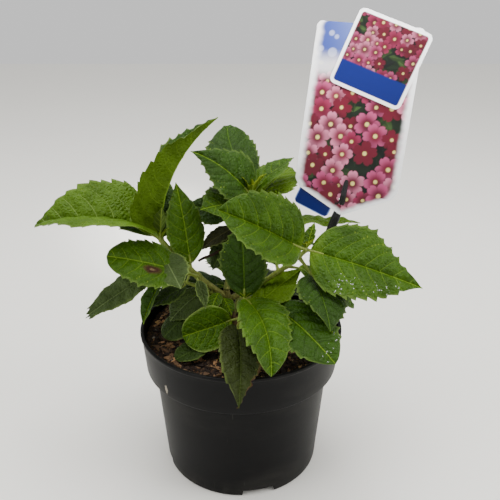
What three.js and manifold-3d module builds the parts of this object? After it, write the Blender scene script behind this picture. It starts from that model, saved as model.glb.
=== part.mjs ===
// A young hydrangea shrub in its nursery pot, with the picture label that stands in the compost.
// Millimetres, +Z up. The origin is the middle of the pot's flat underside, and -Y is the front.
import * as THREE from 'three';
import * as BufferGeometryUtils from 'three/addons/utils/BufferGeometryUtils.js';
import Module from 'manifold-3d';

const wasm = await Module();
wasm.setup();

const gap = 0.3; // left between neighbouring pieces

// Pot: a 17 cm nursery pot with a flared band round its mouth and notches round its foot
const potHeight = 127;
const rimRadius = 83.8;
const bandBottom = 91;
const bandRadius = 80.3;
const bodyTopRadius = 73.2;
const footRadius = 66;
const footRound = 1.5;
const wall = 1.8;
const ledgeHeight = 2.5; // of the step out from the body to the band
const lipHeight = 3;
const lipWidth = 1.2;
const lipChamfer = 0.6;
const potSides = 48;
const notchCount = 4;
const notchWidth = 29;
const notchHeight = 6;
const notchDepth = 8;
const firstNotch = 283; // degrees, so that one notch shows a little right of the front
const footRing = 10; // width of the solid ring that the notches are cut in
const footRingHeight = 8;

// Compost
const compostTop = 117.5;
const compostDish = 3.5; // how much lower it lies at the wall
const flatRadius = 24; // of the level patch that the stems stand on
const compostRings = 3;
const unevenness = 0.9;
const heap = 6; // how much higher the compost lies at the wall on the left

// Limbs
const trunkRadius = 3.2;
const trunkTipRadius = 2.7;
const boughRadius = 2.5;
const twigRadius = 1.6;
const limbSides = 8;
const limbSteps = 6;
const flareHeight = 4;
const flareShare = 0.3; // how much wider a foot is below the compost's level
const stalkFootRadius = 1.5;
const stalkTipRadius = 1.1;
const stalkSides = 5;
const socketDepth = 8; // how far a cut reaches along a limb past the place where another one starts

// Leaves
const leafThickness = 1.2;
const stepLength = 13; // each blade has a ring of points about this often
const fewestSteps = 5;
const youngSteps = 3;
const wideLeaf = 34; // a leaf wider than this has four strips across, the others two
const tipHalfWidth = 0.5;
const stalkInBlade = 0.07; // the share of the blade that its stalk runs into
const youngPairs = 2;
const youngClearance = 5;

// Label: a card on a stake, with a smaller tag in front of it and a tab behind it. The label's own places
// are measured from the card's lower tip, to the right, to the back and up, before it leans back and turns.
const cardWidth = 84;
const cardHeight = 150;
const cardPoint = 22; // height of the pointed lower end
const cardThickness = 1;
const labelFoot = [81.4, 19.5, 216.1]; // the card's lower tip, on the front face
const labelBack = 15.5; // degrees that it leans back
const labelTurn = -18.5; // degrees about the upright
const cardLean = -2.8; // degrees, turned in its own plane
const tagSize = [61, 61];
const tagCentre = [17.7, 124];
const tagLean = -19.4;
const tabSize = [31, 23];
const tabCentre = [-22.4, 12.2];
const tabLean = -20.7;
const stakeWidth = 7;
const stakeTopWidth = 3.6;
const stakeThickness = 2.2;

const radians = THREE.MathUtils.degToRad;
const vec = (place) => new THREE.Vector3(...place);

// Each limb is a curve from its foot past a knee to its tip. Its own mass takes over at the share massFrom,
// and the longest young leaf at its tip is as long as young says.
const limbs = {
  trunk: { foot: [-4, 4, 118], knee: [-11, 3, 138], tip: [-12, 1, 157] },
  left: { foot: [-12, 1.5, 150.5], knee: [-42, -12, 180], tip: [-63, -6, 205], massFrom: 0.35, young: 12 },
  right: { foot: [-11, 2, 147.5], knee: [28, -4, 170], tip: [52, -8, 197], massFrom: 0.4, young: 10 },
  back: { foot: [-12, 1, 157.3], knee: [-6, 24, 190], tip: [9, 25, 230], massFrom: 0.3, young: 22 },
  front: { foot: [-1, -14, 118], knee: [-1, -26, 140], tip: [3, -22, 160], massFrom: 0.25, young: 8 },
  low: { foot: [-10.3, 2.7, 142], knee: [-20, 0, 150], tip: [-26, -3, 158], massFrom: 0, young: 8 },
  rear: { foot: [-7.7, 3.3, 130], knee: [-2, 14, 142], tip: [2, 30, 150], massFrom: 0, young: 14 },
};

// How fast a blade widens from its foot and narrows to its tip
const outlines = {
  pointed: [0.72, 1.0],
  broad: [0.62, 1.3],
  oval: [0.6, 0.72],
  rounded: [0.5, 0.52],
  narrow: [0.85, 1.05],
};

// The grown leaves of each mass, in degrees and millimetres.
// at is the place on the limb, 0 at its foot and 1 at its tip. heading is the way that the leaf points,
// seen from above, 0 to the right and 90 to the back, and rise is its slope where the blade begins.
// droop bends the midrib down along the blade, roll and twist turn the blade about it, at its foot and by
// its tip, and fold lifts the two halves. sweep curves it sideways, in hundredths of its length.
const leaves = {
  left: [
    { at: 1, heading: 195, rise: 42, droop: 72, length: 100, width: 70, stalk: 3, roll: -10, fold: 34,
      twist: -25, sweep: 15, stalkRise: 50 },
    { at: 1, heading: 350, rise: 88, droop: 50, length: 108, width: 64, stalk: 4, fold: 44, twist: 8,
      kind: 'broad' },
    { at: 0.95, heading: 108, rise: 58, droop: 22, length: 58, width: 40, stalk: 4, fold: 15 },
    { at: 0.5, heading: 115, rise: 75, droop: 12, length: 66, width: 34, stalk: 5, roll: 10, fold: 6 },
    { at: 1, heading: 290, rise: 72, droop: 10, length: 30, width: 13, stalk: 3, fold: 40 },
    { at: 0.38, heading: 200, rise: 27, droop: 20, length: 62, width: 40, stalk: 24, roll: -38, fold: 4,
      kind: 'rounded', stalkHeading: 245, stalkRise: 32 },
    { at: 0.85, heading: 297, rise: -14, droop: 24, length: 37, width: 30, stalk: 10, roll: 15, fold: 0,
      stalkHeading: 245, stalkRise: 0 },
    { at: 0.75, heading: 230, rise: -38, droop: 30, length: 38, width: 17, stalk: 22, fold: 35,
      kind: 'narrow', stalkHeading: 236, stalkRise: -44 },
    { at: 0.5, heading: 205, rise: -15, droop: 15, length: 32, width: 24, stalk: 15, roll: -5,
      stalkHeading: 255, stalkRise: -33 },
    { at: 0.9, heading: 140, rise: 30, droop: 40, length: 80, width: 50, stalk: 10, roll: -5 },
    { at: 0.55, heading: 120, rise: -15, droop: 30, length: 70, width: 46, stalk: 12 },
    { at: 0.42, heading: 293, rise: -35, droop: 15, length: 24, width: 13, stalk: 11, fold: 40,
      stalkHeading: 280, stalkRise: 0 },
  ],
  right: [
    { at: 1, heading: 212, rise: 36, droop: 17, length: 80, width: 60, stalk: 6, roll: -68, fold: 28,
      twist: 8, kind: 'oval', stalkHeading: 210, stalkRise: 25 },
    { at: 1, heading: 345, rise: -10, droop: 16, length: 93, width: 66, stalk: 3, roll: 40, fold: 12,
      kind: 'broad', stalkHeading: 331, stalkRise: 3 },
    { at: 0.88, heading: 285, rise: -12, droop: 20, length: 58, width: 44, stalk: 18, roll: -10, fold: 12,
      twist: -15, stalkHeading: 340, stalkRise: -50 },
    { at: 1, heading: 60, rise: 58, droop: 10, length: 21, width: 10, stalk: 2, fold: 20 },
    { at: 0.7, heading: 351, rise: -26, droop: 20, length: 58, width: 38, stalk: 13, kind: 'oval',
      stalkHeading: 30, stalkRise: -15 },
    { at: 0.8, heading: 88, rise: 0, droop: 35, length: 64, width: 36, stalk: 12 },
    { at: 0.6, heading: 95, rise: -3, droop: 35, length: 76, width: 44, stalk: 12 },
  ],
  back: [
    { at: 1, heading: 125, rise: 55, droop: 42, length: 74, width: 52, stalk: 4, roll: 15, fold: 2,
      twist: -25, sweep: -18, kind: 'oval', stalkHeading: 150, stalkRise: 48 },
    { at: 1, heading: 197, rise: 55, droop: 40, length: 60, width: 46, stalk: 3, roll: -56, fold: 12,
      twist: 8, sweep: 6, kind: 'broad', stalkHeading: 205, stalkRise: 54 },
    { at: 0.85, heading: 225, rise: 18, droop: 24, length: 42, width: 42, stalk: 7, roll: -28, fold: 12,
      stalkHeading: 208, stalkRise: 55 },
    { at: 0.7, heading: 180, rise: 21, droop: 16, length: 36, width: 30, stalk: 13, roll: -37,
      stalkRise: 34 },
    { at: 1, heading: 38, rise: 41, droop: 25, length: 47, width: 37, stalk: 4, roll: -10, fold: 16,
      stalkHeading: 42, stalkRise: 54 },
    { at: 0.85, heading: 54, rise: 25, droop: 24, length: 57, width: 46, stalk: 14, roll: 8, fold: 15,
      stalkHeading: 38, stalkRise: 36 },
    { at: 0.6, heading: 14, rise: 4, droop: 14, length: 88, width: 30, stalk: 20, roll: -5 },
    { at: 0.6, heading: 198, rise: -17, droop: 30, length: 33, width: 18, stalk: 12, roll: -20,
      stalkHeading: 245, stalkRise: 42 },
    { at: 0.5, heading: 214, rise: -45, droop: 25, length: 32, width: 23, stalk: 13, roll: -20,
      stalkHeading: 246, stalkRise: 44 },
    { at: 0.6, heading: 92, rise: 5, droop: 55, length: 88, width: 60, stalk: 12 },
    { at: 0.75, heading: 140, rise: 14, droop: 55, length: 64, width: 40, stalk: 10 },
    { at: 0.7, heading: 65, rise: 0, droop: 45, length: 80, width: 52, stalk: 14 },
  ],
  front: [
    { at: 0.35, heading: 216, rise: 0, droop: 12, length: 28, width: 22, stalk: 31, roll: -8, fold: 12,
      kind: 'rounded', stalkHeading: 206, stalkRise: -15 },
    { at: 0.6, heading: 205, rise: -8, droop: 18, length: 41, width: 36, stalk: 8, roll: -65, fold: 12,
      kind: 'rounded', curl: -0.1, stalkHeading: 200, stalkRise: 0 },
    { at: 0.5, heading: 278, rise: 18, droop: 83, length: 80, width: 34, stalk: 10, roll: -8,
      stalkHeading: 252, stalkRise: 14 },
    { at: 1, heading: 298, rise: 5, droop: 48, length: 78, width: 44, stalk: 3, roll: -6, fold: 20,
      sweep: -18, kind: 'oval', stalkRise: 30 },
    { at: 1, heading: 303, rise: 5, droop: 40, length: 75, width: 50, stalk: 22, roll: 10, fold: 8,
      sweep: 4, kind: 'oval', stalkHeading: 352, stalkRise: -8 },
    { at: 1, heading: 88, rise: 86, droop: 5, length: 64, width: 38, stalk: 2, roll: -5, fold: 5,
      sweep: 5 },
    { at: 0.8, heading: 28, rise: 28, droop: 5, length: 53, width: 40, stalk: 8, fold: 8, sweep: 6,
      stalkHeading: 20, stalkRise: 0 },
  ],
  low: [
    { at: 1, heading: 196, rise: -25, droop: 14, length: 71, width: 26, stalk: 46, roll: -30, fold: 14,
      stalkHeading: 188, stalkRise: 28 },
    { at: 0.9, heading: 220, rise: -14, droop: 26, length: 38, width: 38, stalk: 6, roll: -7, fold: 3,
      stalkHeading: 176, stalkRise: 15 },
    { at: 0.6, heading: 220, rise: -18, droop: 20, length: 30, width: 28, stalk: 26, roll: -9, fold: -6,
      kind: 'rounded', stalkRise: -12 },
    { at: 0.3, heading: 300, rise: -18, droop: 30, length: 17, width: 13, stalk: 12, stalkHeading: 280,
      stalkRise: 38 },
    { at: 0.7, heading: 250, rise: -15, droop: 30, length: 19, width: 13, stalk: 12, stalkHeading: 295,
      stalkRise: 35 },
  ],
  rear: [
    { at: 1, heading: 108, rise: 8, droop: 40, length: 76, width: 46, stalk: 8 },
    { at: 0.7, heading: 168, rise: 8, droop: 35, length: 64, width: 38, stalk: 14 },
    { at: 0.85, heading: 52, rise: -6, droop: 25, length: 70, width: 42, stalk: 12 },
    { at: 0.5, heading: 26, rise: 5, droop: 30, length: 46, width: 28, stalk: 22, stalkRise: -5 },
  ],
};

const usualLeaf = { roll: 0, twist: 0, fold: 10, sweep: 0, curl: 0.12, kind: 'pointed' };

// Even numbers from 0 to 1 that are the same on every run
function seeded(seed) {
  let state = seed;
  return () => {
    state = (state * 16807) % 2147483647;
    return state / 2147483647;
  };
}

// Turns a closed mesh into a solid
function solidOf(geometry) {
  const bare = geometry.clone();
  bare.deleteAttribute('normal');
  bare.deleteAttribute('uv');
  const merged = BufferGeometryUtils.mergeVertices(bare, 1e-3);
  return new wasm.Manifold(new wasm.Mesh({
    numProp: 3,
    vertProperties: new Float32Array(merged.attributes.position.array),
    triVerts: new Uint32Array(merged.index.array),
  }));
}

function geometryOf(solid) {
  const mesh = solid.getMesh();
  const geometry = new THREE.BufferGeometry();
  geometry.setAttribute('position', new THREE.BufferAttribute(new Float32Array(mesh.vertProperties), 3));
  geometry.setIndex(new THREE.BufferAttribute(new Uint32Array(mesh.triVerts), 1));
  geometry.computeVertexNormals();
  return geometry;
}

const joined = (solids) => solids.reduce((whole, piece) => whole.add(piece));

// Closed skin over rings of points that turn anticlockwise about the way from the first ring to the last
function loft(rings) {
  const count = rings[0].length;
  const index = [];
  for (let k = 0; k + 1 < rings.length; k += 1) {
    for (let i = 0; i < count; i += 1) {
      const a = k * count + i;
      const b = k * count + ((i + 1) % count);
      index.push(a, b, b + count, a, b + count, a + count);
    }
  }
  const last = (rings.length - 1) * count;
  for (let i = 0; i + 1 < count / 2; i += 1) {
    const [a, b, c, d] = [i, i + 1, count - 2 - i, count - 1 - i];
    index.push(a, c, b, a, d, c, last + a, last + b, last + c, last + a, last + c, last + d);
  }
  const geometry = new THREE.BufferGeometry();
  const places = rings.flat().flatMap((point) => point.toArray());
  geometry.setAttribute('position', new THREE.Float32BufferAttribute(places, 3));
  geometry.setIndex(index);
  return geometry;
}

// Round tube through points, with its own radius at each
function tube(points, radiusAt, sides) {
  const start = points[1].clone().sub(points[0]).normalize();
  const reference = Math.abs(start.y) < 0.75 ? vec([0, 1, 0]) : vec([1, 0, 0]);
  return loft(points.map((point, k) => {
    const before = points[Math.max(k - 1, 0)];
    const after = points[Math.min(k + 1, points.length - 1)];
    const ahead = after.clone().sub(before).normalize();
    const side = reference.clone().cross(ahead).normalize();
    const up = ahead.clone().cross(side);
    const radius = radiusAt(k / (points.length - 1));
    return Array.from({ length: sides }, (_, i) => {
      const turn = (2 * Math.PI * (i + 0.5)) / sides;
      return point.clone()
        .addScaledVector(side, radius * Math.cos(turn))
        .addScaledVector(up, radius * Math.sin(turn));
    });
  }));
}

const limbCurve = ({ foot, knee, tip }) => new THREE.QuadraticBezierCurve3(vec(foot), vec(knee), vec(tip));

// A stretch of a limb, from one share of it to another
function limbStretch(limb, from, to, radiusFrom, radiusTo, grown = 0) {
  const curve = limbCurve(limb);
  const points = Array.from({ length: limbSteps + 1 }, (_, k) => (
    curve.getPoint(from + ((to - from) * k) / limbSteps)));
  return tube(points, (share) => radiusFrom + (radiusTo - radiusFrom) * share + grown, limbSides);
}

// The way ahead, the left side and the upper side of a leaf that points along heading and rise
function leafFrame(heading, rise, roll = 0) {
  const [h, r, o] = [heading, rise, roll].map(radians);
  const ahead = vec([Math.cos(r) * Math.cos(h), Math.cos(r) * Math.sin(h), Math.sin(r)]);
  const upright = vec([-Math.sin(r) * Math.cos(h), -Math.sin(r) * Math.sin(h), Math.cos(r)]);
  const across = upright.clone().cross(ahead);
  const side = across.clone().multiplyScalar(Math.cos(o)).addScaledVector(upright, Math.sin(o));
  const up = upright.multiplyScalar(Math.cos(o)).addScaledVector(across, -Math.sin(o));
  return { ahead, side, up };
}

// Where the leaf's stalk leaves its limb, and where its blade begins
function stalkEnds(limb, leaf) {
  const node = limbCurve(limb).getPoint(leaf.at);
  const way = leafFrame(leaf.stalkHeading ?? leaf.heading, leaf.stalkRise ?? leaf.rise + 10).ahead;
  return [node, node.clone().addScaledVector(way, leaf.stalk)];
}

function halfWidth(leaf, share) {
  const [widen, narrow] = outlines[leaf.kind];
  const widest = widen / (widen + narrow);
  const peak = widest ** widen * (1 - widest) ** narrow;
  const half = ((leaf.width / 2) * share ** widen * (1 - share) ** narrow) / peak;
  return Math.max(half, share < 0.5 ? stalkTipRadius : tipHalfWidth);
}

// A point of the blade, at a share 0 to 1 from its foot to its tip. across is -1 at its right edge and 1 at
// its left.
function bladePoint(limb, leaf, share, across, lift) {
  const base = stalkEnds(limb, leaf)[1];
  const { ahead, side: flatSide, up: flatUp } = leafFrame(leaf.heading, leaf.rise, leaf.roll);
  const turn = radians(leaf.twist) * share;
  const side = flatSide.clone().multiplyScalar(Math.cos(turn)).addScaledVector(flatUp, Math.sin(turn));
  const up = flatUp.clone().multiplyScalar(Math.cos(turn)).addScaledVector(flatSide, -Math.sin(turn));
  const droop = radians(leaf.droop);
  const bent = droop * share;
  const fold = radians(leaf.fold);
  const half = halfWidth(leaf, share);
  const out = up.clone().multiplyScalar(Math.cos(bent)).addScaledVector(ahead, Math.sin(bent));
  return base
    .addScaledVector(ahead, (leaf.length * Math.sin(bent)) / droop)
    .addScaledVector(up, (-leaf.length * (1 - Math.cos(bent))) / droop)
    .addScaledVector(side, (leaf.length * leaf.sweep * share * share) / 100)
    .addScaledVector(side, across * half * Math.cos(fold))
    .addScaledVector(out, Math.abs(across) * half * Math.sin(fold) - leaf.curl * half * across * across)
    .addScaledVector(out, lift / Math.cos(fold));
}

function blade(limb, leaf) {
  const strips = leaf.width > wideLeaf ? 4 : 2;
  const steps = leaf.young ? youngSteps : Math.max(Math.round(leaf.length / stepLength), fewestSteps);
  const rings = Array.from({ length: steps + 1 }, (_, k) => {
    const share = k / steps;
    const leftToRight = Array.from({ length: strips + 1 }, (unused, i) => 1 - (2 * i) / strips);
    const top = leftToRight.map((across) => bladePoint(limb, leaf, share, across, leafThickness / 2));
    const under = leftToRight.map((across) => bladePoint(limb, leaf, share, across, -leafThickness / 2));
    return [...top, ...under.reverse()];
  });
  return loft(rings);
}

// The stalk starts on the limb's axis and ends sunk in the blade
function stalk(limb, leaf) {
  const [node, base] = stalkEnds(limb, leaf);
  const inBlade = bladePoint(limb, leaf, stalkInBlade, 0, 0);
  const radiusAt = (share) => THREE.MathUtils.lerp(stalkFootRadius, stalkTipRadius, share);
  return tube([node, base, inBlade], radiusAt, stalkSides);
}

const grownLeaves = (name) => leaves[name].map((leaf) => ({ ...usualLeaf, ...leaf }));

// Points all over a mass's grown leaves, to keep young leaves of other masses away from them
const leafPoints = Object.fromEntries(Object.keys(leaves).map((name) => [
  name,
  grownLeaves(name).flatMap((leaf) => [0, 0.2, 0.4, 0.6, 0.8, 1].flatMap((share) => (
    [-1, -0.5, 0, 0.5, 1].map((across) => bladePoint(limbs[name], leaf, share, across, 0))))),
]));

// Young folded leaves in crossed pairs at the tip of a limb. One that would touch another mass or limb is
// skipped.
function youngLeaves(name, seed) {
  const limb = limbs[name];
  const next = seeded(seed);
  const firstHeading = 360 * next();
  const others = Object.keys(leaves).filter((other) => other !== name);
  const keptClear = [
    ...others.flatMap((other) => leafPoints[other]),
    ...others.flatMap((other) => limbCurve(limbs[other]).getPoints(4 * limbSteps)),
  ];
  const kept = [];
  for (let pair = 0; pair < youngPairs; pair += 1) {
    for (const turn of [0, 180]) {
      const leaf = {
        ...usualLeaf,
        young: true,
        at: 1,
        heading: firstHeading + 90 * pair + turn + 30 * (next() - 0.5),
        rise: 50 + 15 * pair + 20 * next(),
        droop: 10 + 20 * next(),
        length: limb.young * (1 - 0.35 * pair - 0.15 * next()),
        width: limb.young * (0.5 - 0.12 * pair),
        stalk: 2,
        fold: 32 + 10 * next(),
        kind: 'narrow',
      };
      const points = [0.5, 1].map((share) => bladePoint(limb, leaf, share, 0, 0));
      if (points.every((point) => keptClear.every((other) => other.distanceTo(point) > youngClearance))) {
        kept.push(leaf);
      }
    }
  }
  return kept;
}

// Pieces, each with its own look
const looks = {
  pot: { color: 0x2b2b2c, roughness: 0.5, metalness: 0 },
  compost: { color: 0x2e1f16, roughness: 0.95, metalness: 0 },
  bark: { color: 0x6b6a3a, roughness: 0.75, metalness: 0 },
  leaf: { color: 0x477a1c, roughness: 0.5, metalness: 0 },
  darkLeaf: { color: 0x39581f, roughness: 0.55, metalness: 0 },
  card: { color: 0xe6b9c3, roughness: 0.35, metalness: 0 },
  tag: { color: 0xb4506a, roughness: 0.35, metalness: 0 },
  tab: { color: 0x1f4aa8, roughness: 0.4, metalness: 0 },
  stake: { color: 0x17181a, roughness: 0.45, metalness: 0 },
};

const group = new THREE.Group();

function piece(name, geometry, look) {
  const mesh = new THREE.Mesh(geometry, new THREE.MeshStandardMaterial(looks[look]));
  mesh.name = name;
  group.add(mesh);
}

// A lathe about the pot's axis, with its profile as radius and height
function turned(profile) {
  const lathe = new THREE.LatheGeometry(profile.map(([r, z]) => new THREE.Vector2(r, z)), potSides);
  lathe.rotateX(Math.PI / 2);
  return lathe;
}

// The pot's inside, from its floor past the solid foot ring up to its rim
const ringTop = footRingHeight + 3;
const aboveRing = THREE.MathUtils.mapLinear(ringTop, 0, bandBottom, footRadius, bodyTopRadius) - wall;
const inside = [
  [footRadius - footRing, wall], [footRadius - footRing, footRingHeight], [aboveRing, ringTop],
  [bodyTopRadius - wall, bandBottom],
  [bandRadius - wall, bandBottom + ledgeHeight + wall], [rimRadius - lipWidth - wall, potHeight],
];

function potBody() {
  const profile = [
    [0, 0], [footRadius - footRound, 0], [footRadius, footRound], [bodyTopRadius, bandBottom],
    [bandRadius, bandBottom + ledgeHeight], [rimRadius - lipWidth, potHeight - lipHeight],
    [rimRadius, potHeight - lipHeight + lipChamfer], [rimRadius, potHeight],
    ...inside.toReversed(), [0, wall],
  ];
  const notches = Array.from({ length: notchCount }, (_, k) => {
    const cutter = new THREE.BoxGeometry(2 * notchDepth, notchWidth, 2 * notchHeight);
    cutter.translate(footRadius, 0, 0);
    cutter.rotateZ(radians(firstNotch + (360 * k) / notchCount));
    return solidOf(cutter);
  });
  return solidOf(turned(profile)).subtract(joined(notches));
}

// The compost fills the pot, level round the stems and a little lower and uneven towards the wall
function compostBody(stake) {
  const lower = inside.slice(0, 5).map(([r, z]) => [r - 1.5 * gap, z + 1.5 * gap]);
  const edgeHeight = compostTop - compostDish;
  const [[bandInside, bandStart], [mouth, top]] = inside.slice(4);
  const lowestEdge = edgeHeight - 2 * unevenness;
  const edge = THREE.MathUtils.mapLinear(lowestEdge, bandStart, top, bandInside, mouth) - gap;
  const across = Array.from({ length: compostRings + 1 }, (_, k) => {
    const share = k / compostRings;
    return [THREE.MathUtils.lerp(edge, flatRadius, share), edgeHeight + compostDish * share ** 0.5];
  });
  const body = turned([[0, wall + gap], ...lower, ...across, [0, compostTop]]);
  const places = body.attributes.position;
  for (let i = 0; i < places.count; i += 1) {
    const [x, y, z] = [places.getX(i), places.getY(i), places.getZ(i)];
    const share = THREE.MathUtils.smoothstep(Math.hypot(x, y), flatRadius, edge);
    if (z >= edgeHeight) {
      const heaped = heap * THREE.MathUtils.smoothstep(-x, 0.2 * edge, edge);
      const uneven = unevenness * (Math.sin(x / 9 + 1) + Math.cos(y / 11 + x / 23));
      places.setZ(i, z + share * (heaped + uneven));
    }
  }
  return solidOf(body).subtract(solidOf(stake));
}

piece('pot', geometryOf(potBody()), 'pot');

// Takes the label's own places to where it stands
const labelPlace = new THREE.Matrix4().makeTranslation(...labelFoot)
  .multiply(new THREE.Matrix4().makeRotationZ(radians(labelTurn)))
  .multiply(new THREE.Matrix4().makeRotationX(radians(-labelBack)));

// The label's stake: from its foot in the compost, behind the card, through the card's slot to its front
const stakePath = [
  ...[[36, 23, 84], [47.5, 23, 119], [78, 23, 213]].map(vec),
  ...[[-2.6, 3.2, 3.5], [-0.3, 0.4, 10.5], [0.9, -2.1, 16], [2.2, -2.3, 28.6]].map((place) => (
    vec(place).applyMatrix4(labelPlace))),
];
const stakeFacing = vec([0, 1, 0]).transformDirection(labelPlace);

function stakeBody(grown) {
  const rings = stakePath.map((place, k) => {
    const before = stakePath[Math.max(k - 1, 0)];
    const ahead = stakePath[Math.min(k + 1, stakePath.length - 1)].clone().sub(before).normalize();
    const side = stakeFacing.clone().cross(ahead).normalize();
    const out = ahead.clone().cross(side);
    const width = THREE.MathUtils.lerp(stakeWidth, stakeTopWidth, Math.max(k - 2, 0) / 4) / 2 + grown;
    const depth = stakeThickness / 2 + grown;
    const reach = (k === 0 ? -grown : 0) + (k === stakePath.length - 1 ? grown : 0);
    return [[1, 1], [-1, 1], [-1, -1], [1, -1]].map(([a, b]) => place.clone()
      .addScaledVector(ahead, reach)
      .addScaledVector(side, a * width)
      .addScaledVector(out, b * depth));
  });
  return loft(rings);
}

piece('compost', geometryOf(compostBody(stakeBody(gap))), 'compost');

// Trunk and boughs. The trunk and the front bough stand on the compost, on a flared foot that is cut flat.
function standing(body, limb, radius) {
  const curve = limbCurve(limb);
  const foot = curve.getPoint(0);
  const ahead = curve.getTangent(0);
  const points = [-flareHeight, 0, flareHeight].map((along) => foot.clone().addScaledVector(ahead, along));
  const flare = tube(points, (share) => radius * (1 + flareShare * (1 - share)), limbSides);
  const ground = new THREE.BoxGeometry(2 * flatRadius, 2 * flatRadius, 4 * flareHeight);
  ground.translate(foot.x, foot.y, compostTop + gap - 2 * flareHeight);
  return body.add(solidOf(flare)).subtract(solidOf(ground));
}

const trunkWith = (grown) => solidOf(limbStretch(limbs.trunk, 0, 1, trunkRadius, trunkTipRadius, grown));
piece('trunk', geometryOf(standing(trunkWith(0), limbs.trunk, trunkRadius)), 'bark');

// The other boughs are cut clear of the trunk that they leave
function boughBody(name) {
  const { massFrom } = limbs[name];
  const radiusAtEnd = boughRadius + (twigRadius - boughRadius) * massFrom;
  const body = solidOf(limbStretch(limbs[name], 0, massFrom, boughRadius, radiusAtEnd));
  return name === 'front' ? standing(body, limbs.front, boughRadius) : body.subtract(trunkWith(gap));
}

for (const name of ['left', 'right', 'back', 'front']) {
  piece(`bough_${name}`, geometryOf(boughBody(name)), 'bark');
}

// A mass: its limb grown on past the bough, with the stalks and blades of its leaves fused on
function massBody(name, seed) {
  const limb = limbs[name];
  const length = limbCurve(limb).getLength();
  const from = limb.massFrom ? limb.massFrom + gap / length : 0;
  const radius = boughRadius + (twigRadius - boughRadius) * from;
  const stem = solidOf(limbStretch(limb, from, 1, radius, twigRadius));
  const all = [...grownLeaves(name), ...youngLeaves(name, seed)];
  const grown = all.flatMap((leaf) => [stalk(limb, leaf), blade(limb, leaf)]);
  const body = joined([stem, ...grown.map(solidOf)]);
  return limb.massFrom ? body : body.subtract(trunkWith(gap));
}

Object.keys(leaves).forEach((name, k) => {
  const look = name === 'low' || name === 'rear' ? 'darkLeaf' : 'leaf';
  piece(`leaves_${name}`, geometryOf(massBody(name, 11 + 7 * k)), look);
});

// A flat piece of the label, extruded back from its front face, turned in its own plane and set in place
function labelPiece(shape, lean, [x, z], front) {
  const options = { depth: cardThickness, bevelEnabled: false, curveSegments: 4 };
  const geometry = new THREE.ExtrudeGeometry(shape, options);
  geometry.rotateZ(radians(lean));
  geometry.rotateX(Math.PI / 2);
  geometry.translate(x, front + cardThickness, z);
  return geometry.applyMatrix4(labelPlace);
}

function roundedRectangle([width, height], radius) {
  const [x, y] = [width / 2, height / 2];
  const shape = new THREE.Shape();
  shape.absarc(x - radius, y - radius, radius, 0, Math.PI / 2);
  shape.absarc(radius - x, y - radius, radius, Math.PI / 2, Math.PI);
  shape.absarc(radius - x, radius - y, radius, Math.PI, 1.5 * Math.PI);
  shape.absarc(x - radius, radius - y, radius, 1.5 * Math.PI, 2 * Math.PI);
  return shape;
}

// The card stands on a blunt point, with its lower corners drawn in
function cardShape() {
  const half = cardWidth / 2;
  const shape = new THREE.Shape();
  shape.moveTo(-4, 1.5);
  shape.quadraticCurveTo(0, -0.5, 4, 1.5);
  shape.lineTo(half - 4, cardPoint - 4);
  shape.quadraticCurveTo(half, cardPoint - 2, half, cardPoint + 4);
  shape.lineTo(half, cardHeight - 3);
  shape.quadraticCurveTo(half, cardHeight, half - 3, cardHeight);
  shape.lineTo(3 - half, cardHeight);
  shape.quadraticCurveTo(-half, cardHeight, -half, cardHeight - 3);
  shape.lineTo(-half, cardPoint + 4);
  shape.quadraticCurveTo(-half, cardPoint - 2, 4 - half, cardPoint - 4);
  return shape;
}

const card = labelPiece(cardShape(), cardLean, [0, 0], 0);
const tagFront = -gap - cardThickness;
const tabFront = cardThickness + gap;
piece('label_stake', stakeBody(0), 'stake');
piece('label_card', geometryOf(solidOf(card).subtract(solidOf(stakeBody(gap)))), 'card');
const tag = roundedRectangle(tagSize, 5);
const tab = roundedRectangle(tabSize, 4);
piece('label_tag', labelPiece(tag, tagLean, tagCentre, tagFront), 'tag');
piece('label_tab', labelPiece(tab, tabLean, tabCentre, tabFront), 'tab');

export default group;
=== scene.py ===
import bpy
import math
import numpy as np
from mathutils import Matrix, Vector


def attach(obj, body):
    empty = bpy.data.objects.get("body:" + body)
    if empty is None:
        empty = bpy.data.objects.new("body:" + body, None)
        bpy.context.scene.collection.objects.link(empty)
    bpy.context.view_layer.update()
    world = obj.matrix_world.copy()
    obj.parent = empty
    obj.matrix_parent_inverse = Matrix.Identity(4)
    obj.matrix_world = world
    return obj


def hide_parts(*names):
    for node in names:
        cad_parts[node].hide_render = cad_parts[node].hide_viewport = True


# A young hydrangea shrub in its nursery pot, with its picture label. -Y is the front. The plant's sizes
# are in millimetres and degrees until a mesh is made.
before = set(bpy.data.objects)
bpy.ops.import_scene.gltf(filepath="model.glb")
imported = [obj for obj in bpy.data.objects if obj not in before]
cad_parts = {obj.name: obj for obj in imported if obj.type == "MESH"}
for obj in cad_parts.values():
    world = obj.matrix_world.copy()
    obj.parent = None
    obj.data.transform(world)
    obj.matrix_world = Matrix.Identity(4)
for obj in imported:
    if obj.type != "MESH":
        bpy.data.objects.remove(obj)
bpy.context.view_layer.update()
mm = 0.001
print("frame loaded:", len(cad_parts), "CAD nodes")

studio = {
    "cameraPlace": (0.0075, -0.4786, 0.4028),
    "cameraTilt": 66.36,  # degrees up from looking straight down
    "lens": 46.95,
    "floorSize": 5,
    "floorColour": (1.0, 0.98, 0.91),
    "skyColour": (0.9, 0.9, 0.9),
    "skyStrength": 0.88,
    "lamps": [  # name, place, aim, width, spread in degrees, power
        ("overheadLamp", (-0.1, 0.1, 1.4), (0, 0, 0.15), 1.0, 180, 20),
        ("leftLamp", (-1.2, -0.7, 0.9), (0, 0, 0.15), 0.8, 180, 5),
        ("rightLamp", (1.2, -0.3, 0.8), (0, 0, 0.15), 0.7, 180, 10),
        ("highLamp", (0.55, -0.7, 1.15), (0.14, 0.06, 0.42), 0.12, 12, 0.4),
    ],
}


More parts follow.
